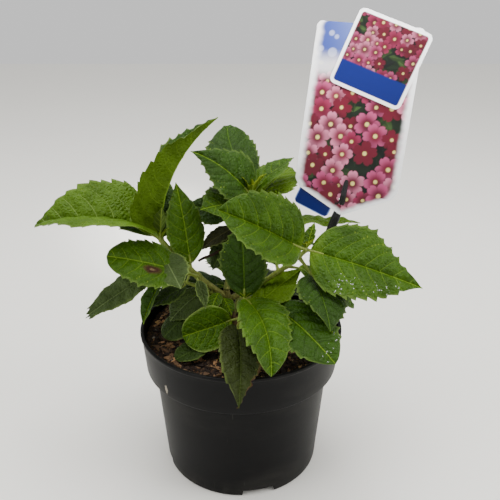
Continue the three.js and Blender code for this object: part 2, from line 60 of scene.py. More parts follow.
def makeStudio():
    camera = bpy.data.objects.new("photoCamera", bpy.data.cameras.new("photoCamera"))
    camera.location = studio["cameraPlace"]
    camera.rotation_euler = (math.radians(studio["cameraTilt"]), 0, 0)
    camera.data.lens = studio["lens"]
    camera.data.clip_start = 0.01
    bpy.context.collection.objects.link(camera)
    bpy.context.scene.camera = camera

    sky = bpy.data.worlds.new("paleSky")
    sky.use_nodes = True
    background = sky.node_tree.nodes["Background"]
    background.inputs["Color"].default_value = (*studio["skyColour"], 1)
    background.inputs["Strength"].default_value = studio["skyStrength"]
    bpy.context.scene.world = sky

    for name, place, aim, width, spread, power in studio["lamps"]:
        lamp = bpy.data.objects.new(name, bpy.data.lights.new(name, "AREA"))
        lamp.data.size = width
        lamp.data.energy = power
        lamp.location = place
        lamp.data.spread = math.radians(spread)
        lamp.rotation_euler = (Vector(aim) - Vector(place)).to_track_quat("-Z", "Y").to_euler()
        bpy.context.collection.objects.link(lamp)


makeStudio()


# Small helpers

def smoothstep(low, high, value):
    share = np.clip((value - low) / (high - low), 0, 1)
    return share * share * (3 - 2 * share)


def ripple(x, y, seed=0.0):
    # a soft uneven field between about -1 and 1
    total = 0
    for k, (a, b) in enumerate([(1, 0.6), (-0.7, 1.1), (1.7, -0.9), (0.5, 2.1), (-2.6, 1.3), (3.1, 2.4)]):
        wave = np.sin(a * x + b * y + seed * (k + 1.3) + k)
        total = total + wave * np.cos(b * x - a * y - seed * (k + 0.7))
    return total / 3


def seeded(seed):
    # even numbers from 0 to 1 that are the same on every run
    state = seed
    while True:
        state = state * 16807 % 2147483647
        yield state / 2147483647


def normalised(v):
    return v / np.linalg.norm(v, axis=-1, keepdims=True)


def bend(start, corner, end, share):
    # a soft bend from start to end, drawn towards the corner
    return (1 - share) ** 2 * start + 2 * share * (1 - share) * corner + share ** 2 * end


def turns(sides):
    return np.arange(sides) * 2 * math.pi / sides


attributeKinds = {1: ("FLOAT", "value"), 3: ("FLOAT_VECTOR", "vector"), 4: ("FLOAT_COLOR", "color")}


class MeshParts:
    # gathers grids of quads, with their attributes, into one mesh

    def __init__(self, name):
        self.name = name
        self.points, self.quads, self.uvs, self.slots = [], [], [], []
        self.attributes = {}
        self.count = 0

    def add(self, points, quads, uvs=None, slot=0, **attributes):
        self.points.append(points)
        self.quads.append(quads + self.count)
        if uvs is not None:
            self.uvs.append(uvs)
        self.slots.append(np.broadcast_to(slot, len(quads)))
        for key, values in attributes.items():
            self.attributes.setdefault(key, []).append(np.asarray(values, float))
        self.count += len(points)

    def addRings(self, grid, slot=0, **attributes):
        # a grid whose rows each close on themselves
        rows, sides = grid.shape[:2]
        k, i = np.meshgrid(np.arange(rows - 1), np.arange(sides), indexing="ij")
        a, b = (k * sides + i).ravel(), (k * sides + (i + 1) % sides).ravel()
        quads = np.stack([a, b, b + sides, a + sides], axis=1)
        self.add(grid.reshape(-1, 3), quads, None, slot, **attributes)

    def build(self, materials, sharpAngle=50):
        points = np.concatenate(self.points) * mm
        quads = np.concatenate(self.quads)
        mesh = bpy.data.meshes.new(self.name)
        mesh.vertices.add(len(points))
        mesh.vertices.foreach_set("co", points.ravel())
        mesh.loops.add(quads.size)
        mesh.loops.foreach_set("vertex_index", quads.ravel())
        mesh.polygons.add(len(quads))
        mesh.polygons.foreach_set("loop_start", np.arange(0, quads.size, 4))
        mesh.polygons.foreach_set("loop_total", np.full(len(quads), 4))
        for material in materials:
            mesh.materials.append(material)
        mesh.polygons.foreach_set("material_index", np.concatenate(self.slots).astype(np.int32))
        for key, parts in self.attributes.items():
            values = np.concatenate(parts)
            kind, field = attributeKinds[1 if values.ndim == 1 else values.shape[1]]
            mesh.attributes.new(key, kind, "POINT").data.foreach_set(field, values.ravel())
        if self.uvs:
            layer = mesh.uv_layers.new(name="OFBake")
            layer.data.foreach_set("uv", np.concatenate(self.uvs).ravel())
        mesh.update()
        mesh.validate()
        mesh.shade_smooth()
        mesh.set_sharp_from_angle(angle=math.radians(sharpAngle))
        piece = bpy.data.objects.new(self.name, mesh)
        bpy.context.collection.objects.link(piece)
        return piece


def gridQuads(rows, columns):
    k, i = np.meshgrid(np.arange(rows - 1), np.arange(columns - 1), indexing="ij")
    a = (k * columns + i).ravel()
    return np.stack([a, a + columns, a + columns + 1, a + 1], axis=1)


def closedSheet(top, under, uvTop, uvUnder):
    # two grids of points joined round their margin. The grids run ahead and from right to left.
    rows, columns = top.shape[:2]
    quads = gridQuads(rows, columns)
    size = rows * columns
    index = np.arange(size).reshape(rows, columns)
    border = np.concatenate([index[:, 0], index[-1, 1:], index[-2::-1, -1], index[0, -2:0:-1]])
    following = np.roll(border, -1)
    strip = np.stack([border, border + size, following + size, following], axis=1)
    points = np.concatenate([top.reshape(-1, 3), under.reshape(-1, 3)])
    flatTop, flatUnder = uvTop.reshape(-1, 2), uvUnder.reshape(-1, 2)
    middle = flatTop.mean(axis=0)
    outside = middle + (flatTop - middle) * 1.015
    stripUv = np.stack([flatTop[border], outside[border], outside[following], flatTop[following]], axis=1)
    uvs = np.concatenate([flatTop[quads], flatUnder[quads[:, ::-1]], stripUv])
    quads = np.concatenate([quads, quads[:, ::-1] + size, strip])
    return points, quads, uvs


def pathFrame(path, reference=None):
    # the two ways square to a path at each of its points
    ahead = normalised(np.gradient(path, axis=0))
    if reference is None:
        reference = np.array([0.0, 1, 0]) if abs(ahead[0][1]) < 0.75 else np.array([1.0, 0, 0])
    side = normalised(np.cross(reference, ahead))
    return side, np.cross(ahead, side)


def endsDrawnIn(grid, path):
    # the grid with a tiny ring added at both ends, which closes it
    first, last = (path[k] + (grid[k] - path[k]) * 0.02 for k in (0, -1))
    return np.concatenate([first[None], grid, last[None]])


def addTube(parts, path, radii, sides, slot=0, ridge=0.0, **attributes):
    # a closed tube along a path. The radii and the attributes have one value for each of its points.
    side, up = pathFrame(path)
    turn = turns(sides)
    radius = radii[:, None] * (1 + ridge * np.cos(5 * turn)[None, :])
    grid = path[:, None] + radius[..., None] * (
        side[:, None] * np.cos(turn)[None, :, None] + up[:, None] * np.sin(turn)[None, :, None])
    spread = {key: np.repeat(np.concatenate([v[:1], v, v[-1:]]), sides) for key, v in attributes.items()}
    parts.addRings(endsDrawnIn(grid, path), slot, **spread)


# Node groups and materials

def linear(*colour):
    # a colour as a screen shows it, 0 to 255, in linear light
    return tuple(((v / 255 + 0.055) / 1.055) ** 2.4 if v > 10 else v / 255 / 12.92 for v in colour)


def rgb(*colour):
    return np.array([*linear(*colour), 1.0])


class NodeBoard:
    # short ways to place and join nodes

    def __init__(self, tree):
        self.tree = tree
        self.column = 0

    def node(self, kind, inputs=None, **settings):
        made = self.tree.nodes.new(kind)
        self.column += 1
        made.location = (180 * (self.column % 9), -220 * (self.column // 9))
        for key, value in settings.items():
            setattr(made, key, value)
        self.fill(made.inputs, inputs or {})
        return made

    def fill(self, sockets, values):
        for key, value in values.items():
            self.put(sockets[key], value)

    def put(self, socket, value):
        if isinstance(value, bpy.types.NodeSocket):
            self.tree.links.new(value, socket)
        elif isinstance(value, tuple) and socket.type == "RGBA" and len(value) == 3:
            socket.default_value = (*value, 1)
        else:
            socket.default_value = value

    def math(self, operation, a, b=0.0, c=0.0):
        return self.node("ShaderNodeMath", {0: a, 1: b, 2: c}, operation=operation).outputs[0]

    def plus(self, a, b):
        return self.math("ADD", a, b)

    def times(self, a, b):
        return self.math("MULTIPLY", a, b)

    def larger(self, a, b):
        return self.math("MAXIMUM", a, b)

    def mix(self, factor, a, b, blend="MIX"):
        sockets = {0: factor, 6: a, 7: b}
        return self.node("ShaderNodeMix", sockets, data_type="RGBA", blend_type=blend).outputs[2]

    def tinted(self, colour, shade):
        return self.mix(1.0, colour, shade, "MULTIPLY")

    def layers(self, base, *coats):
        # lays colours over the base in turn, each as how much of it shows and the colour
        for amount, colour in coats:
            base = self.mix(amount, base, colour)
        return base

    def ramp(self, value, low, high, fromValue=0.0, toValue=1.0):
        return self.node("ShaderNodeMapRange", {
            "Value": value, "From Min": low, "From Max": high, "To Min": fromValue, "To Max": toValue,
        }, interpolation_type="SMOOTHSTEP").outputs["Result"]

    def noise(self, vector, scale, detail=3.0, roughness=0.55):
        return self.node("ShaderNodeTexNoise", {
            "Vector": vector, "Scale": scale, "Detail": detail, "Roughness": roughness}).outputs["Fac"]

    def streaks(self, stretch, detail, roughness=0.55):
        # noise drawn out along the axes with the smaller numbers
        mapped = self.node("ShaderNodeMapping", {"Vector": self.objectPlace(), "Scale": stretch})
        return self.noise(mapped.outputs[0], 1.0, detail, roughness)

    def cells(self, vector, scale, feature="F1"):
        return self.node("ShaderNodeTexVoronoi", {"Vector": vector, "Scale": scale}, feature=feature).outputs

    def axes(self, vector):
        return self.node("ShaderNodeSeparateXYZ", {0: vector}).outputs

    def attribute(self, name, output="Fac"):
        return self.node("ShaderNodeAttribute", attribute_name=name).outputs[output]

    def objectPlace(self):
        return self.node("ShaderNodeTexCoord").outputs["Object"]

    def group(self, tree, **values):
        return self.node("ShaderNodeGroup", values, node_tree=tree).outputs


class MaterialBoard(NodeBoard):
    # the board of a Principled material. The constants stay on the shader's own sockets.

    def __init__(self, name, **constants):
        self.material = bpy.data.materials.new(name)
        self.material.use_nodes = True
        super().__init__(self.material.node_tree)
        self.shader = self.tree.nodes["Principled BSDF"].inputs
        for key, value in constants.items():
            self.shader[key.replace("_", " ")].default_value = value

    def cover(self, colour, roughness=None, height=None, relief=(0.5, 0.0004)):
        # joins what was worked out to the shader. The relief is the bump's strength and distance.
        self.put(self.shader["Base Color"], colour)
        if roughness is not None:
            self.put(self.shader["Roughness"], roughness)
        if height is not None:
            strength, distance = relief
            bump = self.node("ShaderNodeBump", {"Strength": strength, "Distance": distance, "Height": height})
            self.put(self.shader["Normal"], bump.outputs["Normal"])
        return self.material


def newGroup(name, inputs, outputs):
    # a shader node group with named inputs, each with its usual value, and named outputs
    tree = bpy.data.node_groups.new(name, "ShaderNodeTree")
    for label, usual in inputs.items():
        socket = tree.interface.new_socket(name=label, in_out="INPUT", socket_type="NodeSocketFloat")
        socket.default_value = usual
    for label in outputs:
        tree.interface.new_socket(name=label, in_out="OUTPUT", socket_type="NodeSocketFloat")
    board = NodeBoard(tree)
    return board, board.node("NodeGroupInput").outputs, board.node("NodeGroupOutput").inputs


def makeGrainGroup():
    # fine unevenness for moulded and printed surfaces
    board, given, result = newGroup("fineGrain", {"Scale": 200.0, "Amount": 0.2}, ("Shade", "Height"))
    place = board.objectPlace()
    fine = board.noise(place, given["Scale"], 4.0, 0.6)
    broad = board.noise(place, board.times(given["Scale"], 0.12), 3.0)
    both = board.math("MULTIPLY_ADD", broad, 0.6, board.times(fine, 0.4))
    centred = board.times(board.math("SUBTRACT", both, 0.5), given["Amount"])
    board.fill(result, {"Shade": board.plus(centred, 1.0), "Height": fine})
    return board.tree


def makeVeinGroup():
    # reads the blade's own coordinates: veinMap is the vein number, the millimetres from the midrib and
    # the millimetres between veins, and bladeMap is millimetres along, millimetres across and a seed
    board, given, result = newGroup("leafVeins", {"Side vein width": 0.55, "Midrib width": 0.8, "Net size": 3.2},
                                    ("Midrib", "Side veins", "Net", "Height", "Blotch"))
    number, across, pitch = board.axes(board.attribute("veinMap", "Vector"))
    away = board.math("ABSOLUTE", board.math("SUBTRACT", number, board.math("ROUND", number)))
    towardsMargin = board.ramp(board.attribute("margin"), 0.35, 0.95, 1.0, 0.25)
    sideVein = board.ramp(board.times(away, pitch), 0.1, given["Side vein width"], 0.8, 0.0)
    sideVein = board.times(sideVein, towardsMargin)
    midrib = board.ramp(board.math("ABSOLUTE", across), 0.15, given["Midrib width"], 1.0, 0.0)
    place = board.attribute("bladeMap", "Vector")
    scale = board.math("DIVIDE", 1.0, given["Net size"])
    net = board.cells(place, scale, "DISTANCE_TO_EDGE")["Distance"]
    fineNet = board.cells(place, board.times(scale, 2.6), "DISTANCE_TO_EDGE")["Distance"]
    lines = board.larger(board.ramp(net, 0.0, 0.12, 1.0, 0.0), board.ramp(fineNet, 0.0, 0.2, 0.45, 0.0))
    domes = board.plus(board.ramp(net, 0.0, 0.42), board.ramp(fineNet, 0.0, 0.5, 0.0, 0.4))
    sunk = board.times(board.larger(sideVein, midrib), 0.8)
    board.fill(result, {
        "Midrib": midrib, "Side veins": sideVein, "Net": lines, "Height": board.math("SUBTRACT", domes, sunk),
        "Blotch": board.noise(place, 0.06, 4.0, 0.6)})
    return board.tree


fineGrain = makeGrainGroup()
leafVeins = makeVeinGroup()

leafLook = {
    "netShow": 0.2, "midribShow": 0.6, "footShow": 0.45, "blotch": 0.3,
    "rimColour": linear(150, 174, 84),
    "blemishColours": (linear(66, 60, 22), linear(56, 34, 22), linear(118, 98, 70)),  # from its edge inwards
    "upperSide": (0.65, 0.6),  # relief, and how much the pale rim shows
    "underside": (-0.6, 0.2),
}
leafShades = {  # colour and vein colour as a screen shows them, roughness, and the side veins' tone: how
    # pale they are, or how dark when it is below nought
    "bright": ((74, 106, 10), (136, 162, 80), 0.46, 0.6),
    "fresh": ((54, 86, 6), (120, 152, 40), 0.46, 0.45),
    "mid": ((45, 76, 4), (120, 152, 40), 0.46, -0.65),
    # dark is partly the leaves' own deeper green and partly painted shade for leaves in the shadow of others
    "dark": ((38, 66, 3), (78, 110, 28), 0.48, -0.65),
    "bronzed": ((44, 54, 14), (62, 76, 30), 0.55, -0.4),
    "shaded": ((42, 62, 14), (70, 92, 36), 0.55, -0.3),
    "grey": ((62, 80, 36), (112, 130, 80), 0.55, 0.15),
    "olive": ((76, 106, 4), (120, 152, 40), 0.5, 0.2),
    "young": ((124, 142, 14), (134, 142, 44), 0.45, 0.1),
    "under": ((70, 98, 10), (120, 152, 40), 0.6, 0.3),
    "brownish": ((46, 48, 20), (78, 76, 42), 0.6, -0.3),
    "paleUnder": ((92, 116, 24), (134, 154, 62), 0.62, 0.6),
    "darkUnder": ((66, 88, 30), (134, 154, 62), 0.62, 0.6),
}


def makeLeafMaterial(name, colour, veinColour, roughness, sideTone):
    colour, veinColour = linear(*colour), linear(*veinColour)
    # below nought, side veins and net lines go darker than the blade: painted shade in the sunk grooves
    sideColour = veinColour if sideTone > 0 else tuple(v * 0.35 for v in colour)
    relief, rim = leafLook["underside" if name in ("paleUnder", "darkUnder") else "upperSide"]
    edge, spot, middle = leafLook["blemishColours"]
    board = MaterialBoard(f"leaf_{name}", Specular_IOR_Level=0.15)
    veins = board.group(leafVeins)
    blemish = board.attribute("blemish")
    halo = board.ramp(blemish, 0.12, 0.4)
    base = board.layers(
        colour,
        (board.times(veins["Net"], leafLook["netShow"]), board.mix(0.5, colour, sideColour)),
        (board.ramp(veins["Blotch"], 0.35, 0.7), tuple(v * (1 - leafLook["blotch"]) for v in colour)),
        (board.times(veins["Side veins"], abs(sideTone)), sideColour),
        (board.times(veins["Midrib"], leafLook["midribShow"]), veinColour),
        (board.times(board.attribute("foot"), leafLook["footShow"]), veinColour),
        (board.times(board.attribute("rim"), rim), leafLook["rimColour"]),
        (halo, edge), (board.ramp(blemish, 0.5, 0.7), spot), (board.ramp(blemish, 0.88, 1.0), middle))
    gloss = board.math("MULTIPLY_ADD", veins["Blotch"], 0.22, roughness - 0.1)
    return board.cover(base, board.larger(gloss, board.times(halo, 0.75)), veins["Height"], (relief, 0.001))


stemLook = {
    "stretch": (900, 900, 90), "green": (linear(96, 116, 34), linear(134, 148, 62)),
    "bark": (linear(84, 66, 40), linear(128, 108, 72)), "spots": linear(112, 60, 44), "spotScale": 420.0,
    "deadStretch": (260, 900, 900), "dead": (linear(22, 16, 10), linear(58, 42, 24)),
}


def makeStemMaterial():
    board = MaterialBoard("greenStem", Specular_IOR_Level=0.35)
    age = board.attribute("age")
    streak = board.streaks(stemLook["stretch"], 4.0)
    green = board.mix(board.ramp(streak, 0.3, 0.7), *stemLook["green"])
    bark = board.mix(board.ramp(streak, 0.35, 0.65), *stemLook["bark"])
    cells = board.cells(board.objectPlace(), stemLook["spotScale"])
    spots = board.ramp(cells["Distance"], 0.12, 0.2, 1.0, 0.0)
    base = board.layers(board.mix(age, green, bark), (board.times(spots, 0.45), stemLook["spots"]))
    return board.cover(base, board.ramp(age, 0.0, 1.0, 0.5, 0.8), board.plus(streak, board.times(spots, 0.5)))


def makeDeadWoodMaterial():
    board = MaterialBoard("deadWood", Specular_IOR_Level=0.2)
    streak = board.streaks(stemLook["deadStretch"], 4.0)
    base = board.mix(board.ramp(streak, 0.35, 0.7), *stemLook["dead"])
    return board.cover(base, board.ramp(streak, 0.3, 0.7, 0.75, 0.9), streak)


leafMaterials = [makeLeafMaterial(name, *look) for name, look in leafShades.items()]
stemMaterial = makeStemMaterial()
deadWoodMaterial = makeDeadWoodMaterial()
shadeOrder = list(leafShades)
print("leaf and stem materials ready:", len(leafMaterials) + 2)


# Limbs and leaves, by the same rule as the solids

limbs = {  # young is the length of the leaf buds at the tip
    "trunk": {"foot": (-4, 4, 118), "knee": (-11, 3, 138), "tip": (-12, 1, 157)},
    "left": {"foot": (-12, 1.5, 150.5), "knee": (-42, -12, 180), "tip": (-63, -6, 205), "young": 12},
    "right": {"foot": (-11, 2, 147.5), "knee": (28, -4, 170), "tip": (52, -8, 197), "young": 10},
    "back": {"foot": (-12, 1, 157.3), "knee": (-6, 24, 190), "tip": (9, 25, 230), "young": 22, "woody": 0.35},
    "front": {"foot": (-1, -14, 118), "knee": (-1, -26, 140), "tip": (3, -22, 160), "young": 8},
    "low": {"foot": (-10.3, 2.7, 142), "knee": (-20, 0, 150), "tip": (-26, -3, 158), "young": 8},
    "rear": {"foot": (-7.7, 3.3, 130), "knee": (-2, 14, 142), "tip": (2, 30, 150), "young": 14},
}
outlines = {"pointed": (0.72, 1.0), "broad": (0.62, 1.3), "oval": (0.6, 0.72), "rounded": (0.5, 0.52),
            "narrow": (0.85, 1.05)}
usualLeaf = {"roll": 0, "twist": 0, "fold": 10, "sweep": 0, "curl": 0.12, "kind": "pointed", "shade": "mid",
             "under": "paleUnder", "teeth": 1, "rim": 0.35, "young": False}


def leaf(at, heading, rise, droop, length, width, stalk, **more):
    return {**usualLeaf, "at": at, "heading": heading, "rise": rise, "droop": droop, "length": length,
            "width": width, "stalk": stalk, **more}


# at is the place on the limb, heading the way that the leaf points seen from above, rise its slope at the
# foot. Droop and sweep bend it down and sideways, roll and twist turn it about its midrib, and fold lifts
# its halves.
leaves = {
    "left": [
        leaf(1, 195, 42, 72, 100, 70, 3, roll=-10, fold=34, twist=-25, sweep=15, stalkRise=50, shade="bright"),
        leaf(1, 350, 88, 50, 108, 64, 4, fold=44, twist=8, kind="broad", under="under", rim=0.9),
        leaf(0.95, 108, 58, 22, 58, 40, 4, fold=15, shade="dark"),
        leaf(0.5, 115, 75, 12, 66, 34, 5, roll=10, fold=6, shade="fresh", teeth=0.5),
        leaf(1, 290, 72, 10, 30, 13, 3, fold=40, shade="grey", under="darkUnder", rim=1),
        leaf(0.38, 200, 27, 20, 62, 40, 24, roll=-38, fold=4, kind="rounded", stalkHeading=245, stalkRise=32,
             shade="fresh", spot=(0.44, 0.28, 3.5, 1.7)),
        leaf(0.85, 297, -14, 24, 37, 30, 10, roll=15, fold=0, stalkHeading=245, stalkRise=0,
             shade="grey", rim=0.8),
        leaf(0.75, 230, -38, 30, 38, 17, 22, fold=35, kind="narrow", stalkHeading=236, stalkRise=-44,
             teeth=0.3),
        leaf(0.5, 205, -15, 15, 32, 24, 15, roll=-5, stalkHeading=255, stalkRise=-33, shade="shaded"),
        leaf(0.9, 140, 30, 40, 80, 50, 10, roll=-5),
        leaf(0.55, 120, -15, 30, 70, 46, 12, shade="dark"),
        leaf(0.42, 293, -35, 15, 24, 13, 11, fold=40, stalkHeading=280, stalkRise=0, shade="grey",
             under="darkUnder", rim=0.8),
    ],
    "right": [
        leaf(1, 212, 36, 17, 80, 60, 6, roll=-68, fold=28, twist=8, kind="oval", stalkHeading=210,
             stalkRise=25, shade="fresh"),
        leaf(1, 345, -10, 16, 93, 66, 3, roll=40, fold=12, kind="broad", stalkHeading=331, stalkRise=3,
             shade="fresh",
             wet=((0.72, 0.75, 7), (0.6, -0.75, 10), (0.78, -0.8, 7), (0.3, -0.7, 8), (0.42, -0.6, 5))),
        leaf(0.88, 285, -12, 20, 58, 44, 18, roll=-10, fold=12, twist=-15, stalkHeading=340, stalkRise=-50,
             shade="dark"),
        leaf(1, 60, 58, 10, 21, 10, 2, fold=20, shade="fresh"),
        leaf(0.7, 351, -26, 20, 58, 38, 13, kind="oval", stalkHeading=30, stalkRise=-15, shade="fresh"),
        leaf(0.8, 88, 0, 35, 64, 36, 12),
        leaf(0.6, 95, -3, 35, 76, 44, 12, shade="dark"),
    ],
    "back": [
        leaf(1, 125, 55, 42, 74, 52, 4, roll=15, fold=2, twist=-25, sweep=-18, kind="oval", stalkHeading=150,
             stalkRise=48, shade="dark"),
        leaf(1, 197, 55, 40, 60, 46, 3, roll=-56, fold=12, twist=8, sweep=6, kind="broad", stalkHeading=205,
             stalkRise=54),
        leaf(0.85, 225, 18, 24, 42, 42, 7, roll=-28, fold=12, stalkHeading=208, stalkRise=55, shade="fresh"),
        leaf(0.7, 180, 21, 16, 36, 30, 13, roll=-37, stalkRise=34, shade="dark"),
        leaf(1, 38, 41, 25, 47, 37, 4, roll=-10, fold=16, stalkHeading=42, stalkRise=54, shade="fresh"),
        leaf(0.85, 54, 25, 24, 57, 46, 14, roll=8, fold=15, stalkHeading=38, stalkRise=36, shade="olive"),
        leaf(0.6, 14, 4, 14, 88, 30, 20, roll=-5, shade="olive", teeth=0.4),
        leaf(0.6, 198, -17, 30, 33, 18, 12, roll=-20, stalkHeading=245, stalkRise=42, shade="brownish"),
        leaf(0.5, 214, -45, 25, 32, 23, 13, roll=-20, stalkHeading=246, stalkRise=44, shade="shaded"),
        leaf(0.6, 92, 5, 55, 88, 60, 12),
        leaf(0.75, 140, 14, 55, 64, 40, 10),
        leaf(0.7, 65, 0, 45, 80, 52, 14, shade="dark"),
    ],
    "front": [
        leaf(0.35, 216, 0, 12, 28, 22, 31, roll=-8, fold=12, kind="rounded", stalkHeading=206, stalkRise=-15,
             shade="shaded", teeth=0.3),
        leaf(0.6, 205, -8, 18, 41, 36, 8, roll=-65, fold=12, kind="rounded", curl=-0.1, stalkHeading=200,
             stalkRise=0, shade="fresh", teeth=0, rim=0.9),
        leaf(0.5, 278, 18, 83, 80, 34, 10, roll=-8, stalkHeading=252, stalkRise=14, shade="bronzed",
             teeth=0.6, ragged=1),
        leaf(1, 298, 5, 48, 78, 44, 3, roll=-6, fold=20, sweep=-18, kind="oval", stalkRise=30, shade="fresh"),
        leaf(1, 303, 5, 40, 75, 50, 22, roll=10, fold=8, sweep=4, kind="oval", stalkHeading=352, stalkRise=-8,
             wet=((0.8, 0.7, 7), (0.93, 0, 6), (0.62, 0.8, 5))),
        leaf(1, 88, 86, 5, 64, 38, 2, roll=-5, fold=5, sweep=5, shade="dark"),
        leaf(0.8, 28, 28, 5, 53, 40, 8, fold=8, sweep=6, stalkHeading=20, stalkRise=0, shade="olive",
             teeth=0.6),
    ],
    "low": [
        leaf(1, 196, -25, 14, 71, 26, 46, roll=-30, fold=14, stalkHeading=188, stalkRise=28, shade="grey",
             teeth=0.3, torn=1),
        leaf(0.9, 220, -14, 26, 38, 38, 6, roll=-7, fold=3, stalkHeading=176, stalkRise=15, shade="grey"),
        leaf(0.6, 220, -18, 20, 30, 28, 26, roll=-9, fold=-6, kind="rounded", stalkRise=-12, shade="shaded",
             teeth=0.3),
        leaf(0.3, 300, -18, 30, 17, 13, 12, stalkHeading=280, stalkRise=38, shade="fresh"),
        leaf(0.7, 250, -15, 30, 19, 13, 12, stalkHeading=295, stalkRise=35, shade="fresh"),
    ],
    "rear": [
        leaf(1, 108, 8, 40, 76, 46, 8, shade="dark"),
        leaf(0.7, 168, 8, 35, 64, 38, 14, shade="dark"),
        leaf(0.85, 52, -6, 25, 70, 42, 12, shade="shaded"),
        leaf(0.5, 26, 5, 30, 46, 28, 22, stalkRise=-5, shade="shaded"),
    ],
}
boughRadius = 2.5
twigRadius = 1.6
deadStick = {"limb": "back", "path": ((-33.7, -4, 185.4), (-19.2, 4, 189.8), (-5, 16.5, 188)), "radius": 1.3}


def limbPoint(limb, share):
    foot, knee, tip = (np.array(limb[k], float) for k in ("foot", "knee", "tip"))
    return bend(foot, knee, tip, np.asarray(share, float)[..., None])


def leafFrame(heading, rise, roll=0):
    h, r, o = (math.radians(v) for v in (heading, rise, roll))
    ahead = np.array([math.cos(r) * math.cos(h), math.cos(r) * math.sin(h), math.sin(r)])
    upright = np.array([-math.sin(r) * math.cos(h), -math.sin(r) * math.sin(h), math.cos(r)])
    across = np.cross(upright, ahead)
    side = across * math.cos(o) + upright * math.sin(o)
    up = upright * math.cos(o) - across * math.sin(o)
    return ahead, side, up


def stalkEnds(limb, one):
    node = limbPoint(limb, one["at"])
    way = leafFrame(one.get("stalkHeading", one["heading"]), one.get("stalkRise", one["rise"] + 10))[0]
    return node, node + way * one["stalk"]


def halfWidth(one, share):
    widen, narrow = outlines[one["kind"]]
    widest = widen / (widen + narrow)
    peak = widest ** widen * (1 - widest) ** narrow
    share = np.clip(share, 1e-5, 1 - 1e-5)
    return one["width"] / 2 * share ** widen * (1 - share) ** narrow / peak


def bladePoint(limb, one, share, y, half, lift):
    # y is the way from the midrib, left positive, and half the half width there
    base = stalkEnds(limb, one)[1]
    ahead, flatSide, flatUp = leafFrame(one["heading"], one["rise"], one["roll"])
    share, y, half, lift = (np.asarray(v, float)[..., None] for v in (share, y, half, lift))
    turn = math.radians(one["twist"]) * share
    side = flatSide * np.cos(turn) + flatUp * np.sin(turn)
    up = flatUp * np.cos(turn) - flatSide * np.sin(turn)
    droop = math.radians(one["droop"])
    bent = droop * share
    fold = math.radians(one["fold"])
    out = up * np.cos(bent) + ahead * np.sin(bent)
    middle = base + one["length"] * (np.sin(bent) / droop * ahead - (1 - np.cos(bent)) / droop * up)
    middle = middle + one["length"] * one["sweep"] / 100 * share ** 2 * side
    spread = np.abs(y) / np.maximum(half, 0.5)
    return middle + side * y * math.cos(fold) + out * (
        np.abs(y) * math.sin(fold) - one["curl"] * half * spread ** 2 + lift)


blade = {
    "toothPitch": 7,  # millimetres along the margin from tooth to tooth on a large leaf
    "toothDepth": 2.7,
    "toothLean": 1.1,  # how far a tooth reaches forward, beside its depth
    "thickness": 0.5,
    "pillow": 1.6,  # how far the surface rises between the side veins of a large leaf
    "wave": 1.5,  # how far the margin goes up and down
    "midribDepth": 0.6,
    "acuminate": 0.26,  # how much the last stretch of the blade is drawn in
    "phases": (0, 0.3, 0.6, 0.84, 0.93),  # rows of points in each tooth
    "heights": (0, 0.42, 0.76, 1.0, 0.1),
}


